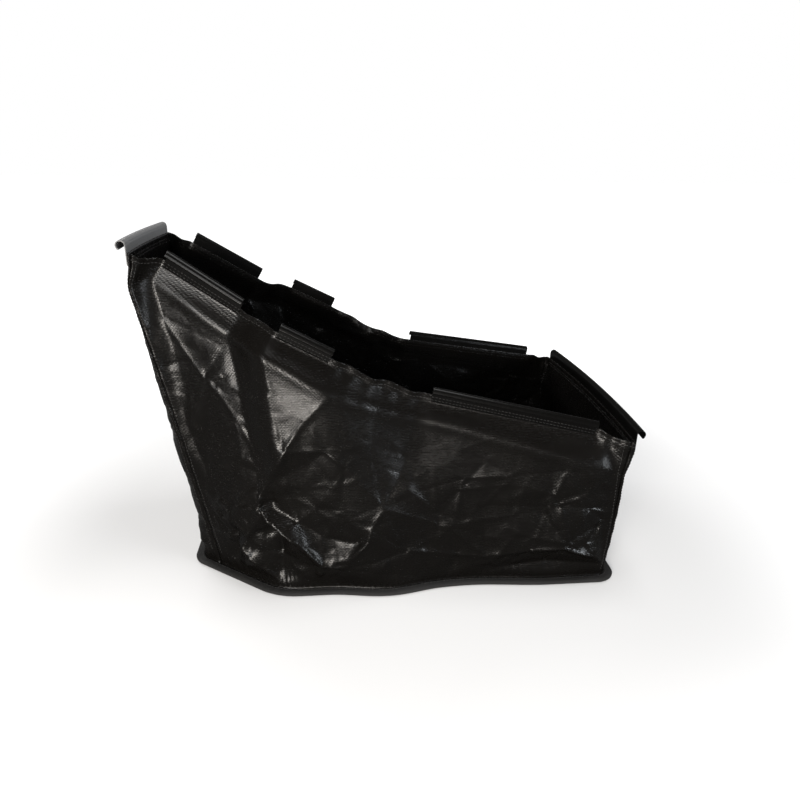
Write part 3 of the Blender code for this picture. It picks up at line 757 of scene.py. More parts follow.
def clip_strip(name, strip, node, surface):
    """The fine form of one clip, with rounded ends and corners."""
    pairs = np.array(clip_section(strip))
    length = np.linalg.norm(np.array(strip.end) - np.array(strip.start))
    count = max(LEAST_STEPS, round(length / BOW_STEP)) if strip.bow else PLAIN_STEPS
    ends = np.array(END_ROUNDING) / length
    shares = np.concatenate((ends, np.linspace(0, 1, count + 1)[1:-1], 1 - ends[::-1]))
    outward, down = clip_outward(strip), clip_down(strip)
    rings = []
    for share in shares:
        here = clip_axis(strip, share)
        before = clip_axis(strip, max(0, share - CLIP_STEP))
        along = unit(clip_axis(strip, min(1, share + CLIP_STEP)) - before)
        level = unit(outward - along * np.dot(outward, along))
        thin = THIN_EDGE if share in (0.0, 1.0) else 1.0
        middles = pairs.mean(axis=1, keepdims=True)
        shaped = middles + (pairs - middles) * thin
        rings.append(here + level * shaped[..., :1] - down * shaped[..., 1:])
    rings = np.array(rings)
    count = len(pairs)
    loop = np.concatenate((rings[:, :, 0], rings[:, ::-1, 1]), axis=1)
    columns, points = loop.shape[:2]
    faces = []
    for i in range(columns - 1):
        for j in range(points):
            k = (j + 1) % points
            faces.append((i * points + j, i * points + k, (i + 1) * points + k, (i + 1) * points + j))
    for base, flip in ((0, True), ((columns - 1) * points, False)):
        for j in range(count - 1):
            quad = (base + j, base + j + 1, base + points - 2 - j, base + points - 1 - j)
            faces.append(quad[::-1] if flip else quad)
    mesh = bpy.data.meshes.new(name)
    mesh.from_pydata(loop.reshape(-1, 3), [], faces)
    face_out(mesh)
    mesh.shade_smooth()
    mesh.set_sharp_from_angle(angle=SHARP_ANGLE)
    piece = new_piece(name, mesh, surface)
    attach(piece, BODY)
    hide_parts(node)


def face_out(mesh):
    """Turns every face of a closed mesh to the outside."""
    volume = 0.0
    for face in mesh.polygons:
        corners = [mesh.vertices[i].co for i in face.vertices]
        for i in range(1, len(corners) - 1):
            volume += corners[0].dot(corners[i].cross(corners[i + 1]))
    if volume < 0:
        mesh.flip_normals()


def back_strip(strip):
    return strip._replace(start=tuple(np.array(strip.start) * (1, -1, 1)),
                          end=tuple(np.array(strip.end) * (1, -1, 1)))


def clips(plastic, high_sheen_plastic):
    # The high end clip takes a copy of the clip plastic painted light grey, a painted reflection of the light
    # on its top.
    clip_strip("high_end_strip", HIGH_CLIP, "clip_high_end", high_sheen_plastic)
    clip_strip("low_end_strip", LOW_CLIP, "clip_low_end", plastic)
    for name, strip in SIDE_CLIPS.items():
        clip_strip("front_" + name + "_strip", strip, "clip_front_" + name, plastic)
        clip_strip("back_" + name + "_strip", back_strip(strip), "clip_back_" + name, plastic)


# Base

def outline_loop(inset, steps):
    """The whole base outline, counterclockwise from the middle of the high end."""
    half = [outline_point(step / steps, inset) for step in range(steps + 1)]
    return np.array(half + [point * (1, -1) for point in half[-2:0:-1]])


BINDING_TOP = 2 * TAPE + 3 * TOUCH_GAP + 2 * CLOTH
BINDING_STEPS = 340
TAPE_LIFTS = ((0.00018, 0.0021), (0.0002, 0.013))
LIFT_FROM = TAPE * 1.5
LIFT_DEPTH = 0.003
LIFT_INSET = 0.0105

# Section of the folded tape: inset from the outline and height, over the outside and back along the inside
TAPE_SECTION = [
    (BINDING_WIDTH, BINDING_TOP - 0.0008), (BINDING_WIDTH - 0.0006, BINDING_TOP - 0.0001),
    (BINDING_WIDTH - 0.0030, BINDING_TOP), (0.0060, BINDING_TOP + 0.0002), (0.0036, BINDING_TOP - 0.0001),
    (0.0018, BINDING_TOP - 0.0007), (0.0006, BINDING_TOP - 0.0017), (0.0001, BINDING_TOP / 2 + 0.0003),
    (0.0003, BINDING_TOP / 2 - 0.0010), (0.0012, 0.0010), (0.0026, 0.0002), (0.0045, 0.0),
    (BINDING_WIDTH - 0.0008, 0.0), (BINDING_WIDTH, 0.0006), (BINDING_WIDTH, TAPE), (0.0034, TAPE),
    (0.0020, 0.0022), (0.0020, BINDING_TOP - TAPE - 0.0006), (0.0034, BINDING_TOP - TAPE),
    (BINDING_WIDTH, BINDING_TOP - TAPE),
]


def base_binding(surface):
    """A tape folded round the edge, slightly uneven from sewing."""
    loops = []
    for inset, z in TAPE_SECTION:
        flat = outline_loop(inset, BINDING_STEPS)
        lift = sum(rise * np.sin(loop_lengths(flat) / wave) for rise, wave in TAPE_LIFTS)
        lifted = z > max(LIFT_FROM, BINDING_TOP - LIFT_DEPTH) and inset < LIFT_INSET
        loops.append(np.column_stack((flat, z + lift * lifted)))
    grid = np.array(loops).transpose(1, 0, 2)
    grid = np.concatenate((grid, grid[:, :1]), axis=1)
    u = np.repeat(loop_lengths(grid)[:, None], grid.shape[1], axis=1)
    mesh = grid_mesh("edge_tape", grid, u, arc_lengths(grid, 1), closed=True)
    piece = new_piece("edge_tape", mesh, surface)
    weld(piece)
    face_out(piece.data)
    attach(piece, BODY)
    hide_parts("base_binding")


def loop_lengths(loop):
    """Lengths round the base at each step of a loop."""
    return np.arange(len(loop)) * 2 * HALF_LENGTH / len(loop)


WELD_REACH = 0.00001


def weld(piece):
    merge = piece.modifiers.new("merge", "WELD")
    merge.merge_threshold = WELD_REACH
    apply_modifiers(piece)


FLOOR_STEPS = 300
FLOOR_INSETS = (LIP_INSET, 0.008, BINDING_WIDTH + TOUCH_GAP, 0.0155, 0.019, 0.0225, FLOOR_FLAT_INSET,
                0.032, 0.040)
FLOOR_MIDDLE = np.array((0.04, 0.0))
FLOOR_RINGS = 34
RING_INSET = 0.006
FLOOR_PUCKER = 0.0016
PUCKER_INSET = 0.024
PUCKER_BELT = 0.014
PUCKER_CLEAR = 0.002
PUCKER_WAVES = (0.011, 0.05)
PUCKER_SWAY = 0.6
FLOOR_GRAIN = Grain(0.070, 0.0040, 0.0)
FLOOR_SEED = 61
FOLDS_FROM = 0.22
FOLDS_REACH = 0.15


def floor_cloth(surface):
    """The floor: flat on the ground inside, puckered where it steps up into the binding."""
    flats = [outline_loop(inset, FLOOR_STEPS) for inset in FLOOR_INSETS]
    for share in np.linspace(0, 1, FLOOR_RINGS)[1:-1]:
        flats.append(flats[len(FLOOR_INSETS) - 1] * (1 - share) + FLOOR_MIDDLE * share)
    grid = []
    length = loop_lengths(flats[0])
    pucker = np.abs(np.sin(length / PUCKER_WAVES[0] + PUCKER_SWAY * np.sin(length / PUCKER_WAVES[1])))
    for row, flat in enumerate(flats):
        beyond = row - len(FLOOR_INSETS)
        inset = FLOOR_INSETS[row] if beyond < 0 else FLOOR_INSETS[-1] + beyond * RING_INSET
        fallen = smooth((inset - BINDING_WIDTH) / (FLOOR_FLAT_INSET - BINDING_WIDTH))
        z = (TAPE + TOUCH_GAP) * (1 - fallen) + CLOTH
        if inset > BINDING_WIDTH + PUCKER_CLEAR:
            z = z + FLOOR_PUCKER * pucker * math.exp(-((inset - PUCKER_INSET) / PUCKER_BELT) ** 2)
        grid.append(np.column_stack((flat, z + 0 * length)))
    grid = np.array(grid).transpose(1, 0, 2)
    grid[:, :, 2] += floor_folds(grid)
    mesh = grid_mesh("floor_cloth", grid, grid[:, :, 0].copy(), grid[:, :, 1].copy(), closed=True)
    close_pole(mesh, grid)
    mesh.flip_normals()
    uv_from_place(mesh)
    piece = new_piece("floor_cloth", mesh, surface)
    thicken(piece, CLOTH)
    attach(piece, BODY)
    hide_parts("floor_panel")
    spread = grid.reshape(-1, 3)
    width, length = float(np.ptp(spread[:, 0])), float(np.ptp(spread[:, 1]))


def floor_folds(grid):
    """Low folds of the floor, which never reach below the ground."""
    x, y = grid[:, :, 0], grid[:, :, 1]
    height = np.maximum(0, blur(loose_crumple(x, y, FLOOR_GRAIN, FLOOR_SEED), 1.0))
    from_rim = np.linspace(0, 1, grid.shape[1])[None, :]
    return height * smooth((from_rim - FOLDS_FROM) / FOLDS_REACH)


def close_pole(mesh, grid):
    """Fills the small hole in the middle with one face."""
    form = bmesh.new()
    form.from_mesh(mesh)
    form.verts.ensure_lookup_table()
    rows = grid.shape[1]
    form.faces.new([form.verts[i * rows + rows - 1] for i in range(grid.shape[0])])
    form.to_mesh(mesh)
    form.free()
    mesh.shade_smooth()


def uv_from_place(mesh):
    uv = mesh.uv_layers["UVMap"]
    for face in mesh.polygons:
        for loop, vertex in zip(face.loop_indices, face.vertices):
            uv.data[loop].uv = mesh.vertices[vertex].co.xy


# Materials

def add_node(tree, kind, **settings):
    made = tree.nodes.new(kind)
    for key, value in settings.items():
        if isinstance(value, bpy.types.NodeSocket):
            tree.links.new(value, made.inputs[key])
        elif key in made.inputs.keys():
            made.inputs[key].default_value = value
        else:
            setattr(made, key, value)
    return made


def math_node(tree, operation, first, second=None, third=None):
    made = tree.nodes.new("ShaderNodeMath")
    made.operation = operation
    for socket, value in zip(made.inputs, (first, second, third)):
        if isinstance(value, bpy.types.NodeSocket):
            tree.links.new(value, socket)
        elif value is not None:
            socket.default_value = value
    return made.outputs[0]


def new_group(name, inputs, outputs):
    """A shader node group with named inputs, a vector where the value is None, and float outputs."""
    tree = bpy.data.node_groups.new(name, "ShaderNodeTree")
    for label, value in inputs.items():
        kind = "NodeSocketVector" if value is None else "NodeSocketFloat"
        socket = tree.interface.new_socket(label, in_out="INPUT", socket_type=kind)
        if value is not None:
            socket.default_value = value
    for label in outputs:
        tree.interface.new_socket(label, in_out="OUTPUT", socket_type="NodeSocketFloat")
    return tree, tree.nodes.new("NodeGroupInput"), tree.nodes.new("NodeGroupOutput")


# Tapes of the weave: how low the cross tapes lie, how the noise is stretched along each kind, how much
# each kind tells in the tone, and where a tape starts to glint
CROSS_TAPE = 0.3
TAPE_STRETCHES = ((0.30, 1.0, 1.0), (1.0, 0.10, 1.0))
TAPE_SHARES = (0.75, 0.25)
GLINT_FROM = 0.46
GLINT_FULL = 0.62


def weave_group():
    """Plain weave of flat tapes: its height, a tone that differs from tape to tape, and their glints."""
    tree, given, result = new_group(
        "flat_tape_weave", {"Vector": None, "Tape": 0.0016, "Unevenness": 0.35},
        ("Height", "Tone", "Sparkle"))
    scaled = add_node(tree, "ShaderNodeVectorMath", operation="DIVIDE")
    tree.links.new(given.outputs["Vector"], scaled.inputs[0])
    tree.links.new(given.outputs["Tape"], scaled.inputs[1])
    axes = add_node(tree, "ShaderNodeSeparateXYZ")
    tree.links.new(scaled.outputs[0], axes.inputs[0])
    u, v = axes.outputs[0], axes.outputs[1]
    turn = math_node(tree, "ADD", math_node(tree, "FLOOR", u), math_node(tree, "FLOOR", v))
    over = math_node(tree, "ABSOLUTE", math_node(tree, "MODULO", turn, 2.0))
    crown_u = math_node(tree, "ABSOLUTE", math_node(tree, "SINE", math_node(tree, "MULTIPLY", u, math.pi)))
    crown_v = math_node(tree, "ABSOLUTE", math_node(tree, "SINE", math_node(tree, "MULTIPLY", v, math.pi)))
    height_u = math_node(tree, "MULTIPLY", crown_u, over)
    height_v = math_node(tree, "MULTIPLY", crown_v, math_node(tree, "SUBTRACT", 1.0, over))
    height = math_node(tree, "MULTIPLY_ADD", height_u, CROSS_TAPE, height_v)
    tapes = []
    for stretch in TAPE_STRETCHES:
        stretched = add_node(tree, "ShaderNodeVectorMath", operation="MULTIPLY")
        tree.links.new(scaled.outputs[0], stretched.inputs[0])
        stretched.inputs[1].default_value = stretch
        noise = add_node(tree, "ShaderNodeTexNoise", Scale=1.0, Detail=2.0)
        tree.links.new(stretched.outputs[0], noise.inputs["Vector"])
        tapes.append(noise.outputs["Fac"])
    tone = math_node(tree, "MULTIPLY_ADD", tapes[0], TAPE_SHARES[0],
                     math_node(tree, "MULTIPLY", tapes[1], TAPE_SHARES[1]))
    uneven = math_node(tree, "MULTIPLY", given.outputs["Unevenness"], math_node(tree, "SUBTRACT", tone, 0.5))
    tree.links.new(math_node(tree, "ADD", height, uneven), result.inputs["Height"])
    tree.links.new(tone, result.inputs["Tone"])
    glint = tree.nodes.new("ShaderNodeMapRange")
    tree.links.new(tapes[0], glint.inputs["Value"])
    glint.inputs["From Min"].default_value = GLINT_FROM
    glint.inputs["From Max"].default_value = GLINT_FULL
    crown = math_node(tree, "MULTIPLY", glint.outputs["Result"], crown_v)
    tree.links.new(crown, result.inputs["Sparkle"])
    return tree


# Marks of handling: name, the input that scales it, noise detail, stretch
HANDLING = [("Patches", "Patch", 3.0, (1, 1, 1)), ("Grain", "Grain", 2.0, (1, 1, 1)),
            ("Scuffs", "Patch", 8.0, (1.0, 6.0, 3.0))]
HANDLING_ROUGHNESS = 0.6


def handling_group():
    """Soft patches from handling and storage, and fine grain."""
    tree, given, result = new_group(
        "handling_marks", {"Vector": None, "Patch": 9.0, "Grain": 900.0}, ("Patches", "Grain", "Scuffs"))
    for label, scale, detail, stretch in HANDLING:
        spread = add_node(tree, "ShaderNodeVectorMath", operation="MULTIPLY")
        tree.links.new(given.outputs["Vector"], spread.inputs[0])
        spread.inputs[1].default_value = stretch
        noise = add_node(tree, "ShaderNodeTexNoise", Detail=detail, Roughness=HANDLING_ROUGHNESS)
        tree.links.new(spread.outputs[0], noise.inputs["Vector"])
        tree.links.new(given.outputs[scale], noise.inputs["Scale"])
        tree.links.new(noise.outputs["Fac"], result.inputs[label])
    return tree


def place_group(tree, group, vector, **values):
    made = tree.nodes.new("ShaderNodeGroup")
    made.node_tree = group
    tree.links.new(vector, made.inputs["Vector"])
    for key, value in values.items():
        made.inputs[key].default_value = value
    return made


def new_material(name):
    surface = bpy.data.materials.new(name)
    surface.use_nodes = True
    tree = surface.node_tree
    shader = tree.nodes["Principled BSDF"]
    coords = tree.nodes.new("ShaderNodeTexCoord")
    return surface, tree, shader, coords


def ramp(tree, value, low, high):
    """Runs a value of 0 to 1 between two levels."""
    made = tree.nodes.new("ShaderNodeMapRange")
    tree.links.new(value, made.inputs["Value"])
    made.inputs["To Min"].default_value = low
    made.inputs["To Max"].default_value = high
    return made.outputs["Result"]


def tint(tree, value, dark, light):
    """Runs from one colour to another, where either may come from a node."""
    made = tree.nodes.new("ShaderNodeMix")
    made.data_type = "RGBA"
    tree.links.new(value, made.inputs["Factor"])
    sockets = [socket for socket in made.inputs if socket.type == "RGBA"]
    for socket, colour in zip(sockets, (dark, light)):
        if isinstance(colour, bpy.types.NodeSocket):
            tree.links.new(colour, socket)
        else:
            socket.default_value = (*colour, 1.0)
    return next(socket for socket in made.outputs if socket.type == "RGBA")


def paint(tree, shader, value, finish):
    """Gives a material its colours along a value of 0 to 1."""
    tree.links.new(tint(tree, value, finish.dark, finish.light), shader.inputs["Base Color"])
    shader.inputs["Specular IOR Level"].default_value = finish.gloss


def bump(tree, shader, height, distance, strength=1.0, below=None):
    made = tree.nodes.new("ShaderNodeBump")
    made.inputs["Distance"].default_value = distance
    made.inputs["Strength"].default_value = strength
    tree.links.new(height, made.inputs["Height"])
    if below is not None:
        tree.links.new(below, made.inputs["Normal"])
    tree.links.new(made.outputs["Normal"], shader.inputs["Normal"])
    return made.outputs["Normal"]


# Finishes: darkest and lightest colour, roughness from and to, specular level
Finish = namedtuple("Finish", "dark light rough gloss")
CLOTH_FINISH = Finish((0.0014, 0.0013, 0.0012), (0.0036, 0.0032, 0.0028), (0.20, 0.36), 0.14)
TAPE_FINISH = Finish((0.0045, 0.0045, 0.0046), (0.0090, 0.0088, 0.0086), (0.72, 0.92), 0.35)
CLIP_FINISH = Finish((0.0013, 0.0013, 0.0012), (0.0026, 0.0025, 0.0024), (0.20, 0.30), 0.07)
# The high end clip is the same black plastic as the other clips. Its light grey is painted reflection,
# standing in for the light that its rounded top catches.
HIGH_END_SHEEN_FINISH = Finish((0.105, 0.105, 0.105), (0.140, 0.140, 0.140), (0.34, 0.50), 0.07)
THREAD_FINISH = Finish((0.010, 0.010, 0.010), (0.022, 0.021, 0.020), (0.5, 0.75), 0.5)

# Scales of the marks, and heights and strengths of the bumps
CLOTH_TAPE = 0.0021
CLOTH_UNEVENNESS = 2.2
CLOTH_MARKS = {"Patch": 11.0, "Grain": 700.0}
CLOTH_GLINT = -0.13
PATCH_SHARE = 0.7
CLOTH_GRAIN_BUMP = (0.00003, 0.4)
CLOTH_WEAVE_BUMP = (0.00011, 1.0)
TAPE_YARN = 0.0008
TAPE_UNEVENNESS = 0.6
TAPE_MARKS = {"Patch": 20.0, "Grain": 1200.0}
TAPE_GRAIN_BUMP = (0.00008, 0.6)
TAPE_WEAVE_BUMP = (0.0002, 0.9)
PLASTIC_MARKS = {"Patch": 24.0, "Grain": 1500.0}
PLASTIC_BUMP = (0.00005, 0.35)
THREAD_MARKS = {"Patch": 60.0, "Grain": 2500.0}
THREAD_BUMP = (0.00005, 0.5)


def coated_cloth(weave, handling):
    surface, tree, shader, coords = new_material("coated_cloth")
    woven = place_group(tree, weave, coords.outputs["UV"], Tape=CLOTH_TAPE, Unevenness=CLOTH_UNEVENNESS)
    marks = place_group(tree, handling, coords.outputs["Object"], **CLOTH_MARKS)
    shade = math_node(tree, "MULTIPLY_ADD", marks.outputs["Patches"], PATCH_SHARE,
                      math_node(tree, "MULTIPLY", woven.outputs["Tone"], 1 - PATCH_SHARE))
    paint(tree, shader, shade, CLOTH_FINISH)
    rough = math_node(tree, "MULTIPLY_ADD", woven.outputs["Sparkle"], CLOTH_GLINT,
                      ramp(tree, marks.outputs["Scuffs"], *CLOTH_FINISH.rough))
    tree.links.new(rough, shader.inputs["Roughness"])
    fine = bump(tree, shader, marks.outputs["Grain"], *CLOTH_GRAIN_BUMP)
    bump(tree, shader, woven.outputs["Height"], *CLOTH_WEAVE_BUMP, below=fine)
    return surface


def tape_cloth(weave, handling):
    surface, tree, shader, coords = new_material("binding_tape")
    woven = place_group(tree, weave, coords.outputs["UV"], Tape=TAPE_YARN, Unevenness=TAPE_UNEVENNESS)
    marks = place_group(tree, handling, coords.outputs["Object"], **TAPE_MARKS)
    paint(tree, shader, marks.outputs["Patches"], TAPE_FINISH)
    tree.links.new(ramp(tree, woven.outputs["Tone"], *TAPE_FINISH.rough), shader.inputs["Roughness"])
    fine = bump(tree, shader, marks.outputs["Grain"], *TAPE_GRAIN_BUMP)
    bump(tree, shader, woven.outputs["Height"], *TAPE_WEAVE_BUMP, below=fine)
    return surface


def moulded_plastic(name, handling, finish):
    surface, tree, shader, coords = new_material(name)
    marks = place_group(tree, handling, coords.outputs["Object"], **PLASTIC_MARKS)
    paint(tree, shader, marks.outputs["Patches"], finish)
    tree.links.new(ramp(tree, marks.outputs["Scuffs"], *finish.rough), shader.inputs["Roughness"])
    bump(tree, shader, marks.outputs["Grain"], *PLASTIC_BUMP)
    return surface


def thread_material(handling):
    surface, tree, shader, coords = new_material("sewing_thread")
    marks = place_group(tree, handling, coords.outputs["Object"], **THREAD_MARKS)
    paint(tree, shader, marks.outputs["Patches"], THREAD_FINISH)
    tree.links.new(ramp(tree, marks.outputs["Grain"], *THREAD_FINISH.rough), shader.inputs["Roughness"])
    bump(tree, shader, marks.outputs["Grain"], *THREAD_BUMP)
    return surface


# Stitches

STITCH = 0.0034
STITCH_PITCH = 0.0046
THREAD_R = 0.00030
THREAD_SEGMENTS = 6
THREAD_RINGS = 5
THREAD_LIFT = THREAD_R * 0.35
THREAD_SUNK = THREAD_R * 0.4
HEM_ROW = 0.0012
SEAM_ROW_COLUMNS = (2, -3)
SEAM_ROWS = slice(8, -3)
FLANGE_ROW_DEPTHS = (0.0028, 0.0068)
FLANGE_ENDS = (0.01, 0.99)
FLANGE_ROW_STEPS = 60
BINDING_ROW = 0.0024
BINDING_ROW_STEPS = 400


def stitch_tree(thread):
    """Lays stitches along each path: evenly spaced, in line with it."""
    tree = bpy.data.node_groups.new("stitch_rows", "GeometryNodeTree")
    tree.interface.new_socket("Geometry", in_out="INPUT", socket_type="NodeSocketGeometry")
    for label in ("Pitch", "Stitch", "Thread radius"):
        tree.interface.new_socket(label, in_out="INPUT", socket_type="NodeSocketFloat")
    tree.interface.new_socket("Geometry", in_out="OUTPUT", socket_type="NodeSocketGeometry")
    given, result = tree.nodes.new("NodeGroupInput"), tree.nodes.new("NodeGroupOutput")
    link = tree.links.new
    curve = tree.nodes.new("GeometryNodeMeshToCurve")
    link(given.outputs["Geometry"], curve.inputs["Mesh"])
    even = tree.nodes.new("GeometryNodeResampleCurve")
    even.mode = "LENGTH"
    link(curve.outputs["Curve"], even.inputs["Curve"])
    link(given.outputs["Pitch"], even.inputs["Length"])
    bead = tree.nodes.new("GeometryNodeMeshUVSphere")
    bead.inputs["Segments"].default_value = THREAD_SEGMENTS
    bead.inputs["Rings"].default_value = THREAD_RINGS
    link(given.outputs["Thread radius"], bead.inputs["Radius"])
    ratio = tree.nodes.new("ShaderNodeMath")
    ratio.operation = "DIVIDE"
    link(given.outputs["Stitch"], ratio.inputs[0])
    link(given.outputs["Thread radius"], ratio.inputs[1])
    half = tree.nodes.new("ShaderNodeMath")
    half.operation = "MULTIPLY"
    link(ratio.outputs[0], half.inputs[0])
    half.inputs[1].default_value = 0.5
    stretch = tree.nodes.new("ShaderNodeCombineXYZ")
    stretch.inputs["X"].default_value = 1.0
    stretch.inputs["Y"].default_value = 1.0
    link(half.outputs[0], stretch.inputs["Z"])
    tangent = tree.nodes.new("GeometryNodeInputTangent")
    turn = tree.nodes.new("FunctionNodeAlignRotationToVector")
    turn.axis = "Z"
    link(tangent.outputs["Tangent"], turn.inputs["Vector"])
    row = tree.nodes.new("GeometryNodeInstanceOnPoints")
    link(even.outputs["Curve"], row.inputs["Points"])
    link(bead.outputs["Mesh"], row.inputs["Instance"])
    link(turn.outputs["Rotation"], row.inputs["Rotation"])
    link(stretch.outputs["Vector"], row.inputs["Scale"])
    real = tree.nodes.new("GeometryNodeRealizeInstances")
    link(row.outputs["Instances"], real.inputs["Geometry"])
    shade = tree.nodes.new("GeometryNodeSetShadeSmooth")
    link(real.outputs["Geometry"], shade.inputs["Geometry"])
    threaded = tree.nodes.new("GeometryNodeSetMaterial")
    threaded.inputs["Material"].default_value = thread
    link(shade.outputs["Geometry"], threaded.inputs["Geometry"])
    link(threaded.outputs["Geometry"], result.inputs["Geometry"])
    return tree


def path_mesh(name, paths):
    """Each path as a chain of edges."""
    points, edges = [], []
    for path in paths:
        first = len(points)
        points += [tuple(point) for point in path]
        edges += [(first + i, first + i + 1) for i in range(len(path) - 1)]
    mesh = bpy.data.meshes.new(name)
    mesh.from_pydata(points, edges, [])
    return mesh


def stitched(name, paths, tree, thread):
    piece = bpy.data.objects.new(name, path_mesh(name, paths))
    bpy.context.scene.collection.objects.link(piece)
    rows = piece.modifiers.new("stitches", "NODES")
    rows.node_group = tree
    sizes = {"Pitch": STITCH_PITCH, "Stitch": STITCH, "Thread radius": THREAD_R}
    for item in tree.interface.items_tree:
        if item.item_type == "SOCKET" and item.in_out == "INPUT" and item.name in sizes:
            rows[item.identifier] = sizes[item.name]
    apply_modifiers(piece)
    piece.data.materials.clear()
    piece.data.materials.append(thread)
    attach(piece, BODY)


def row_at(grid, from_edge, lift):
    """A line across a panel at a length below its mouth edge, just off its outer face."""
    upward = arc_lengths(grid, 1)
    depth = upward[:, -1:] - upward
    normals = surface_normals(grid)
    path = []
    for column, deep, normal in zip(grid, depth, normals):
        order = slice(None, None, -1)
        here = [np.interp(from_edge, deep[order], column[order, axis]) for axis in range(3)]
        out = [np.interp(from_edge, deep[order], normal[order, axis]) for axis in range(3)]
        path.append(np.array(here) + unit(np.array(out)) * lift)
    return path


def seam_row(grid, column, lift):
    """A line up a panel beside its seam."""
    normals = surface_normals(grid)
    return grid[column, SEAM_ROWS] + normals[column, SEAM_ROWS] * lift


def flange_row(strip, from_axis, depth):
    """A line along a clip, a length in from the wire's axis and another below it."""
    return [clip_axis(strip, share) - clip_outward(strip) * from_axis + clip_down(strip) * depth
            for share in np.linspace(*FLANGE_ENDS, FLANGE_ROW_STEPS)]


def stitches(grids, thread):
    tree = stitch_tree(thread)
    mouth_rows, seams = [], []
    for grid in grids.values():
        mouth_rows.append(row_at(grid, HEM - HEM_ROW, THREAD_LIFT))
        seams += [seam_row(grid, column, THREAD_LIFT) for column in SEAM_ROW_COLUMNS]
    stitched("mouth_stitches", mouth_rows, tree, thread)
    stitched("corner_seam_stitches", seams, tree, thread)
    back_clips = [back_strip(strip) for strip in SIDE_CLIPS.values()]
    rows = []
    for strip in [HIGH_CLIP, LOW_CLIP, *SIDE_CLIPS.values(), *back_clips]:
        for from_foot in FLANGE_ROW_DEPTHS:
            for face in (WIRE_BORE / 2 - THREAD_SUNK, CLOTH_INSET + CLOTH + THREAD_SUNK):
                rows.append(flange_row(strip, face, strip.flange - from_foot))
    stitched("flange_stitches", rows, tree, thread)
    around = outline_loop(BINDING_WIDTH - BINDING_ROW, BINDING_ROW_STEPS)
    around = np.concatenate((around, around[:1]))
    tops = np.full(len(around), BINDING_TOP + THREAD_SUNK)
    stitched("binding_stitches", [np.column_stack((around, tops))], tree, thread)


# Stage

CAMERA_PLACE = (-0.0682, -0.9150, 0.5662)
CAMERA_YAW = 0.0997
CAMERA_PITCH = 0.3740
CAMERA_ROLL = 0.0163
PHOTO_FOCUS = 650.0
PHOTO_SIZE = 800.0
PHOTO_SHIFT = 3.26
SENSOR = 36.0


def camera():
    """The photograph's viewpoint, fitted to the clip ends at a focal length that was chosen, not measured."""
    level = math.cos(CAMERA_PITCH)
    ahead = Vector((math.sin(CAMERA_YAW) * level, math.cos(CAMERA_YAW) * level, -math.sin(CAMERA_PITCH)))
    right = Vector((math.cos(CAMERA_YAW), -math.sin(CAMERA_YAW), 0.0))
    up = right.cross(ahead)
    rolled_right = right * math.cos(CAMERA_ROLL) + up * math.sin(CAMERA_ROLL)
    rolled_up = up * math.cos(CAMERA_ROLL) - right * math.sin(CAMERA_ROLL)
    lens = bpy.data.cameras.new("photo_camera")
    lens.sensor_width = SENSOR
    lens.lens = SENSOR * PHOTO_FOCUS / PHOTO_SIZE
    lens.shift_y = PHOTO_SHIFT / PHOTO_SIZE
    viewer = bpy.data.objects.new("photo_camera", lens)
    turned = Matrix((rolled_right, rolled_up, -ahead)).transposed().to_4x4()
    viewer.matrix_world = Matrix.Translation(CAMERA_PLACE) @ turned
    bpy.context.scene.collection.objects.link(viewer)
    bpy.context.scene.camera = viewer


WALL_GLOW = (0.42, 0.435, 0.46)
CEILING_GLOW = (0.10, 0.088, 0.076)
CEILING_FROM = 0.02
CEILING_FULL = 0.26
AMBIENT = (0.20, 0.20, 0.205)
FLOOR_COLOUR = (0.40, 0.40, 0.40)
MIRRORED_FLOOR = (0.08, 0.08, 0.08)
FLOOR_GLOW = 0.28
FLOOR_NEAR = 0.42
FLOOR_FAR = 1.15
FLOOR_REACH = 12.0
FLOOR_Z = -0.0005
GLOSSY_FLOOR = 0.11
FLOOR_ROUGHNESS = 0.9
FLOOR_GLOSS = 0.1
WHITE = (1.0, 1.0, 1.0)

Softbox = namedtuple("Softbox", "name place aim size power colour")
SOFTBOXES = [
    Softbox("key_softbox", (-0.55, -1.70, 0.50), (-0.10, -0.10, 0.20), (0.60, 0.36), 50.0, (1.0, 0.94, 0.87)),
    Softbox("high_softbox", (-0.80, -1.65, 1.00), (-0.10, -0.10, 0.15), (0.70, 0.30), 15.0, WHITE),
    Softbox("top_softbox", (0.30, -0.10, 1.90), (0.0, 0.0, 0.10), (0.90, 0.60), 24.0, WHITE),
    Softbox("back_softbox", (-0.85, 1.00, 1.45), (0.0, 0.0, 0.20), (0.90, 0.80), 20.0, WHITE),
    Softbox("fill_softbox", (1.30, -1.30, 0.42), (0.1, 0.0, 0.15), (0.30, 0.22), 13.0, (0.88, 0.94, 1.0)),
]


def lights():
    for box in SOFTBOXES:
        light = bpy.data.lights.new(box.name, "AREA")
        light.color = box.colour
        light.shape = "RECTANGLE"
        light.size, light.size_y = box.size
        light.energy = box.power
        lamp = bpy.data.objects.new(box.name, light)
        lamp.location = box.place
        lamp.rotation_euler = (Vector(box.aim) - Vector(box.place)).to_track_quat("-Z", "Y").to_euler()
        bpy.context.scene.collection.objects.link(lamp)


def straight_ray(tree, path):
    """1 where the camera sees something itself or through glass."""
    return math_node(tree, "MAXIMUM", path.outputs["Is Camera Ray"], path.outputs["Is Transmission Ray"])


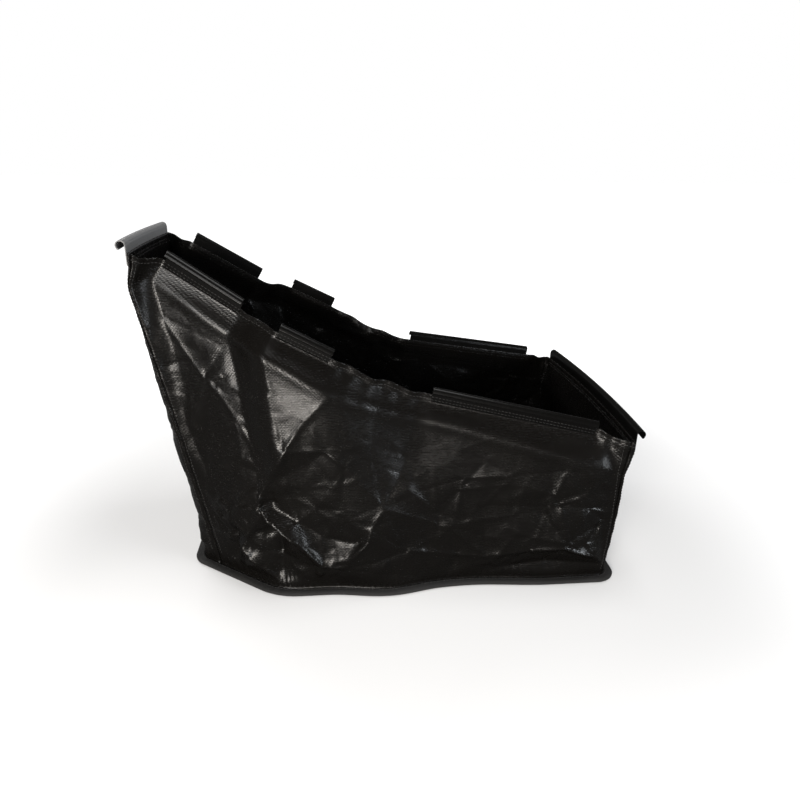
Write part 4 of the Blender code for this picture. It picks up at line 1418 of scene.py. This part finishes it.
def world():
    """White round the horizon, with a dim ceiling that only gloss and soft light find."""
    room = bpy.data.worlds.new("studio")
    bpy.context.scene.world = room
    room.use_nodes = True
    tree = room.node_tree
    path = tree.nodes.new("ShaderNodeLightPath")
    coords = tree.nodes.new("ShaderNodeTexCoord")
    axes = add_node(tree, "ShaderNodeSeparateXYZ", Vector=coords.outputs["Generated"])
    ceiling = tree.nodes.new("ShaderNodeMapRange")
    ceiling.interpolation_type = "SMOOTHSTEP"
    tree.links.new(axes.outputs["Z"], ceiling.inputs["Value"])
    ceiling.inputs["From Min"].default_value = CEILING_FROM
    ceiling.inputs["From Max"].default_value = CEILING_FULL
    gloss = tint(tree, ceiling.outputs["Result"], WALL_GLOW, CEILING_GLOW)
    light = tint(tree, path.outputs["Is Glossy Ray"], AMBIENT, gloss)
    seen = tint(tree, straight_ray(tree, path), light, WHITE)
    tree.links.new(seen, tree.nodes["Background"].inputs["Color"])
    tree.nodes["Background"].inputs["Strength"].default_value = 1.0


def studio_floor():
    """White to the horizon, and lit near the object so that its shadow shows."""
    surface, tree, shader, coords = new_material("studio_floor")
    shader.inputs["Roughness"].default_value = FLOOR_ROUGHNESS
    shader.inputs["Specular IOR Level"].default_value = FLOOR_GLOSS
    away = add_node(tree, "ShaderNodeVectorMath", operation="LENGTH")
    tree.links.new(coords.outputs["Object"], away.inputs[0])
    far = tree.nodes.new("ShaderNodeMapRange")
    far.interpolation_type = "SMOOTHSTEP"
    tree.links.new(away.outputs["Value"], far.inputs["Value"])
    far.inputs["From Min"].default_value = FLOOR_NEAR
    far.inputs["From Max"].default_value = FLOOR_FAR
    far.inputs["To Min"].default_value = FLOOR_GLOW
    far.inputs["To Max"].default_value = 1.0
    glow = tree.nodes.new("ShaderNodeEmission")
    path = tree.nodes.new("ShaderNodeLightPath")
    glossy = path.outputs["Is Glossy Ray"]
    tree.links.new(tint(tree, glossy, FLOOR_COLOUR, MIRRORED_FLOOR), shader.inputs["Base Color"])
    mirrored_glow = math_node(tree, "MULTIPLY", glossy, GLOSSY_FLOOR)
    seen = math_node(tree, "MAXIMUM", straight_ray(tree, path), mirrored_glow)
    tree.links.new(math_node(tree, "MULTIPLY", far.outputs["Result"], seen), glow.inputs["Strength"])
    both = tree.nodes.new("ShaderNodeAddShader")
    tree.links.new(shader.outputs[0], both.inputs[0])
    tree.links.new(glow.outputs[0], both.inputs[1])
    tree.links.new(both.outputs[0], tree.nodes["Material Output"].inputs["Surface"])
    mesh = bpy.data.meshes.new("studio_floor")
    mesh.from_pydata([(-FLOOR_REACH, -FLOOR_REACH, FLOOR_Z), (FLOOR_REACH, -FLOOR_REACH, FLOOR_Z),
                      (FLOOR_REACH, FLOOR_REACH, FLOOR_Z), (-FLOOR_REACH, FLOOR_REACH, FLOOR_Z)],
                     [], [(0, 1, 2, 3)])
    new_piece("studio_floor", mesh, surface)


def build():
    weave, handling = weave_group(), handling_group()
    cloth = coated_cloth(weave, handling)
    tape = tape_cloth(weave, handling)
    plastic = moulded_plastic("clip_plastic", handling, CLIP_FINISH)
    # A lighter copy of the clip plastic whose grey is painted reflection
    high_sheen_plastic = moulded_plastic("high_end_painted_sheen_plastic", handling, HIGH_END_SHEEN_FINISH)
    thread = thread_material(handling)
    grids = cloth_panels(cloth)
    clips(plastic, high_sheen_plastic)
    base_binding(tape)
    floor_cloth(cloth)
    stitches(grids, thread)
    camera()
    lights()
    world()
    studio_floor()
    bpy.context.scene.view_settings.view_transform = "Standard"


build()
